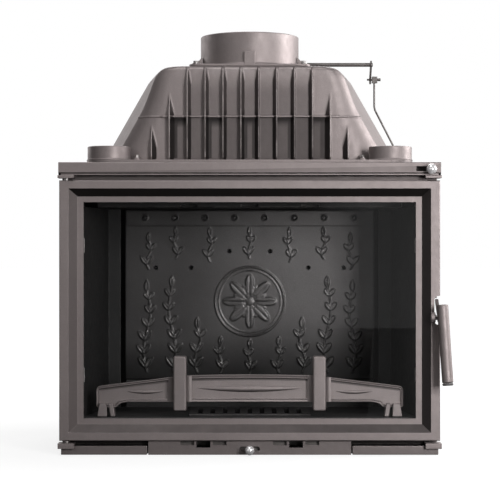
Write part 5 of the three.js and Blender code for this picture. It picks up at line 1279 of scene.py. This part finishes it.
def leaf_height(x, z, root, angle, length, width, proud):
    """A leaf from its root: along it w = width sin(pi t)^0.8 wide, highest in a ring inside its edge,
    with a sunk vein. t runs from 0 to 1 along the leaf."""
    along = ((x - root[0]) * math.cos(angle) + (z - root[1]) * math.sin(angle)) / length
    across = -(x - root[0]) * math.sin(angle) + (z - root[1]) * math.cos(angle)
    across = across - 0.12 * length * along * (1 - along) * np.sign(math.cos(angle))
    t = np.clip(along, 0, 1)
    wide = np.maximum(width * np.sin(math.pi * t) ** 0.8, 1e-3)
    v = np.abs(across) / wide
    body = smooth_step(1.0 - v, 0.0, 0.3) * (1 - 0.55 * smooth_step(0.35 - v, 0.0, 0.35))
    return proud * body * ((along > 0) & (along < 1) & (v < 1))


def ridge(distance, half, proud):
    """A round ridge: proud sqrt(1 - (distance / half)^2)."""
    return proud * np.sqrt(np.clip(1 - (distance / half) ** 2, 0, 1))


def spray(x, z, foot, height, sway, leaves, size):
    """A stem that sways as a sine while it climbs, with a pair of leaves at each joint."""
    t = np.clip((z - foot[1]) / height, 0, 1)
    stem_x = foot[0] + sway * np.sin(2 * math.pi * t)
    total = ridge(x - stem_x, 1.7, 1.9) * (z > foot[1]) * (z < foot[1] + height)
    for i in range(leaves):
        share = (i + 0.35) / leaves
        joint = (foot[0] + sway * math.sin(2 * math.pi * share), foot[1] + share * height)
        scale = size * (1 - 0.35 * share)
        for angle in (0.95, math.pi - 0.95):
            total = np.maximum(total, leaf_height(x, z, joint, angle, scale, scale * 0.26, 2.4))
    tip = (foot[0], foot[1] + height - 2)
    return np.maximum(total, leaf_height(x, z, tip, math.pi / 2, size * 0.9, size * 0.2, 2.4))


SIDE_SPRAYS = [
    # x and z of the foot, height, sway, pairs of leaves, size of a leaf
    (212, 140, 168, 7, 6, 26), (160, 140, 176, -7, 6, 27), (108, 140, 92, 6, 3, 26),
    (60, 138, 58, -4, 2, 22), (208, 352, 58, 5, 2, 22), (152, 374, 50, -5, 2, 20),
    (82, 368, 54, 4, 2, 20),
]
MIDDLE_SPRAYS = [(0, 136, 56, 3, 2, 22), (0, 374, 50, -3, 2, 20)]
SPRAYS = MIDDLE_SPRAYS + [(side * foot_x, foot_z, tall_by, side * sway, leaves, size)
                          for side in (-1, 1)
                          for foot_x, foot_z, tall_by, sway, leaves, size in SIDE_SPRAYS]


def relief_at(x, z):
    """The height of the relief without its bosses and holes: the highest of its forms."""
    high = np.zeros_like(x)
    for foot_x, foot_z, tall_by, sway, leaves, size in SPRAYS:
        high = np.maximum(high, spray(x, z, (foot_x, foot_z), tall_by, sway, leaves, size))
    radius, angle = np.hypot(x, z - ROSETTE_LEVEL), np.arctan2(z - ROSETTE_LEVEL, x)
    high = np.maximum(high, ridge(radius - 71, 1.9, 2.0))
    high = np.maximum(high, ridge(radius - 64, 1.2, 1.1))
    petal_wave = np.abs(np.cos(4 * angle))
    petal = smooth_step(54 * petal_wave ** 0.7 + 3 - radius, 0, 5) * smooth_step(radius, 12, 17)
    vein = 1 - 0.5 * smooth_step(0.05 - np.abs(np.sin(4 * angle)) * 0.25, 0, 0.05)
    high = np.maximum(high, 2.2 * petal * vein * (radius < 60))
    inner = smooth_step(34 * np.abs(np.sin(4 * angle)) ** 0.8 + 3 - radius, 0, 4) * (radius > 10)
    high = np.maximum(high, 1.6 * inner)
    high = np.maximum(high, ridge(radius, 10, 2.5))
    high = np.maximum(high, 0.8 * smooth_step(z, 440.5, 442.5))
    return high


print("relief:", len(SPRAYS), "sprays round a rosette at height", ROSETTE_LEVEL)

# %% [markdown]
# ## The plate with its relief
# The grid lies on the plate's front. Near a hole its points are drawn onto two circles, so that the
# hole comes out round. The grid's rim is then walled down to the plate's back.

# %% The plate with its relief
BOSS_LEVEL = 458.0
HOLE_DEPTH = 9.4
BORDER = 1.6

boss_places = [(x, BOSS_LEVEL) for x in (np.arange(8) - 3.5) * (2 * BACK_HALF - 84) / 7]
hole_places = [(side * share * BACK_HALF, BACK_HIGH - drop)
               for side in (-1, 1) for share, drop in ((0.163, 86), (0.47, 120), (0.752, 120))]
columns = np.arange(round(2 * BACK_HALF / GRID_STEP) + 1)
columns = columns / columns[-1]
lines = np.arange(round((BACK_HIGH - BACK_LOW) / GRID_STEP) + 1)
lines = lines / lines[-1]
plate_x, plate_z = np.meshgrid((columns - 0.5) * 2 * BACK_HALF, BACK_LOW + lines * (BACK_HIGH - BACK_LOW))
drawn_x, drawn_z = plate_x.copy(), plate_z.copy()
for hole_x, hole_z in hole_places:
    far = np.hypot(drawn_x - hole_x, drawn_z - hole_z)
    for ring in (4.6, 3.2):
        near = np.abs(far - ring) < 0.72
        pull = np.where(near, ring / np.maximum(far, 0.1), 1)
        drawn_x = np.where(near, hole_x + (drawn_x - hole_x) * pull, drawn_x)
        drawn_z = np.where(near, hole_z + (drawn_z - hole_z) * pull, drawn_z)
        far = np.hypot(drawn_x - hole_x, drawn_z - hole_z)
proud = relief_at(drawn_x, drawn_z)
# Painted shade: dark hollows inside the boss rings, dark holes, a painted shadow over the lower part, and
# more shade towards the left.
fireback_shade = np.zeros_like(proud)
for boss_x, boss_z in boss_places:
    far = np.hypot(drawn_x - boss_x, drawn_z - boss_z)
    proud = np.maximum(proud, 2.6 * smooth_step(7.2 - far, 0, 1.6) * (far > 3))
    proud = np.where(far < 4.4, 0.4 + 0.4 * smooth_step(2.6 - far, 0, 1.2), proud)
    fireback_shade = np.maximum(fireback_shade, smooth_step(5.2 - far, 0, 1.5) * smooth_step(far, 1.6, 2.6))
for hole_x, hole_z in hole_places:
    far = np.hypot(drawn_x - hole_x, drawn_z - hole_z)
    proud = np.where(far < 3.5, -HOLE_DEPTH, proud)
    fireback_shade = np.where(far < 4.0, 1.0, fireback_shade)
fireback_shade = np.maximum(fireback_shade, 0.95 * (1 - smooth_step(plate_z, 130, 290)))
fireback_shade = np.maximum(fireback_shade, 0.5 * smooth_step(-plate_x, -60, 150))
border = np.minimum(BACK_HALF - np.abs(plate_x), np.minimum(plate_z - BACK_LOW, BACK_HIGH - plate_z))
proud = np.where(border < BORDER, -np.clip(BORDER - border, 0, BORDER) * 0.9, proud)
slope = np.hypot(*np.gradient(proud, GRID_STEP))
edge_light = np.clip(slope * 0.8, 0, 1) * (proud > 0.5)
face = np.stack([drawn_x, BACK_FACE - proud, drawn_z], axis=-1)
rear = np.stack([plate_x, np.full_like(plate_x, BACK_REAR), plate_z], axis=-1)
rows_count, columns_count = plate_x.shape
front_faces = grid_faces(rows_count, columns_count, closed_columns=False)
rim_index = np.concatenate([
    np.arange(columns_count), np.arange(1, rows_count) * columns_count + columns_count - 1,
    (rows_count - 1) * columns_count + np.arange(columns_count - 2, -1, -1),
    np.arange(rows_count - 2, 0, -1) * columns_count])
rim_points = rear.reshape(-1, 3)[rim_index]
start = rows_count * columns_count
wall_faces = [[int(a), int(b), start + (i + 1) % len(rim_index), start + i]
              for i, (a, b) in enumerate(zip(rim_index, np.roll(rim_index, -1)))]
rear_face = [list(range(start, start + len(rim_index)))[::-1]]
fireback_points = np.concatenate([face.reshape(-1, 3), rim_points])
fireback_faces = front_faces + wall_faces + rear_face
fireback = make_piece("fireback_relief", [(fireback_points, fireback_faces)], back_iron, ["fireback"], 60,
                      {"edge": edge_light.ravel(), "recess": fireback_shade.ravel()})
print("fireback:", len(fireback.data.polygons), "faces, relief up to", round(float(proud.max()), 2), "mm")

# %% [markdown]
# ## Rope seal
# A braided glass-fibre rope is glued in a groove on the door's back. It could be a plain tube with a
# bump, but the braid shows at its edge, so its section is pushed in and out: two families of strands
# wind round it in opposite directions, and the number braid is high on top of a strand.

# %% Rope seal
ROPE_INSET = 22.0
ROPE_RADIUS = 4.0
ROPE_LEVEL = -204.5
STRANDS = 5
STRAND_RISE = 0.33
LAY = 11
door_low, door_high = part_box("door_frame")
x0, x1 = door_low.x / MM + ROPE_INSET, door_high.x / MM - ROPE_INSET
z0, z1 = door_low.z / MM + ROPE_INSET, door_high.z / MM - ROPE_INSET
corners = softened(rectangle(x0, x1, z0, z1), 12.0, 8)
steps_along = np.linalg.norm(np.roll(corners, -1, axis=0) - corners, axis=1)
reached = np.concatenate([[0], np.cumsum(steps_along)])
total = reached[-1]
stations = np.linspace(0, total, 900, endpoint=False)
path = np.stack([np.interp(stations, reached, np.append(line, line[0])) for line in corners.T], axis=1)
ahead = np.roll(path, -1, axis=0) - np.roll(path, 1, axis=0)
ahead /= np.linalg.norm(ahead, axis=1, keepdims=True)
outward = np.stack([ahead[:, 1], -ahead[:, 0]], axis=1)
turn = np.linspace(0, 2 * math.pi, 20, endpoint=False)
winding = 2 * math.pi * np.round(total / LAY) / total
one = np.cos(STRANDS * turn[None] + winding * stations[:, None] * 2)
two = np.cos(STRANDS * turn[None] - winding * stations[:, None] * 2)
strand = np.maximum(one, two)
radius = ROPE_RADIUS - 0.35 + STRAND_RISE * strand
rope_x = path[:, :1] + outward[:, :1] * radius * np.cos(turn)
rope_z = path[:, 1:] + outward[:, 1:] * radius * np.cos(turn)
rope_y = ROPE_LEVEL + radius * np.sin(turn)
rope_rings = np.stack([rope_x, rope_y, rope_z], axis=-1)
make_piece("door_rope_seal", [skin_of(rope_rings, looped=True)], rope_fibre, ["door_gasket"], 70,
           {"braid": np.clip(strand * 0.5 + 0.5, 0, 1).ravel()})
print("rope seal:", round(total), "mm round the door")

# %% [markdown]
# ## Grip and knobs
# The grip is a turned bar with rounded ends and a dark cap under it. The two pulls end in chromed
# balls. All are profiles turned round an axis. Spheres from the menu would do for the balls, but these
# keep the flat where the stem goes in.

# %% Grip, cap and knobs
GRIP_RADIUS = 10.75
PIVOT = np.array([366.3, -256.0, 263.0])
GRIP_LEAN = np.array([-math.tan(math.radians(3.2)), math.tan(math.radians(6.0)), 1.0])


def grip_point(rise):
    """A point on the grip's axis at a height above the spindle."""
    return PIVOT + rise * GRIP_LEAN


def bar_between(start, end, radius, round_by):
    """A turned bar: its ends are quarter circles."""
    length = float(np.linalg.norm(end - start))
    q = np.linspace(0, math.pi / 2, 6)
    foot = [(radius - round_by * (1 - math.sin(a)), round_by * (1 - math.cos(a))) for a in q]
    middle = [(radius, round_by + (length - 2 * round_by) * t) for t in np.linspace(0.1, 0.9, 9)]
    head = [(radius - round_by * (1 - math.cos(a)), length - round_by * (1 - math.sin(a))) for a in q]
    return turned([(0, 0), *foot, *middle, *head, (0, length)], start, end - start, looped=False)


make_piece("handle_grip_bar", [bar_between(grip_point(-121.7), grip_point(25), GRIP_RADIUS, 2.2)],
           paint, ["handle_grip"], 35)
make_piece("handle_end_cap", [bar_between(grip_point(-127), grip_point(-122), GRIP_RADIUS - 0.4, 1.8)],
           sooty, ["handle_cap"], 35)
for node, radius, back_depth in (("damper_knob", 10.0, 6.8), ("air_knob", 9.0, 6.3)):
    low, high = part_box(node)
    middle = np.array([(low.x + high.x) / 2, low.y, (low.z + high.z) / 2]) / MM + (0, radius, 0)
    ball = np.linspace(0, math.pi * 0.86, 26)
    profile = [(radius * math.sin(a), -radius * math.cos(a)) for a in ball]
    profile += [(3.4, radius * 0.94), (3.4, radius * 1.0), (0, radius * 1.0)]
    make_piece(node + "_ball", [turned(profile, middle, (0, 1, 0), 40, looped=False)], chrome, [node], 35)
print("grip, cap and knobs made")

# %% [markdown]
# ## The box of the imported model is printed.
# The dressed model has to stay inside the imported one, so both boxes are written for comparison.

# %% Print the imported model's box
print("CAD box", [[round(v, 4) for v in c] for c in cad_box])
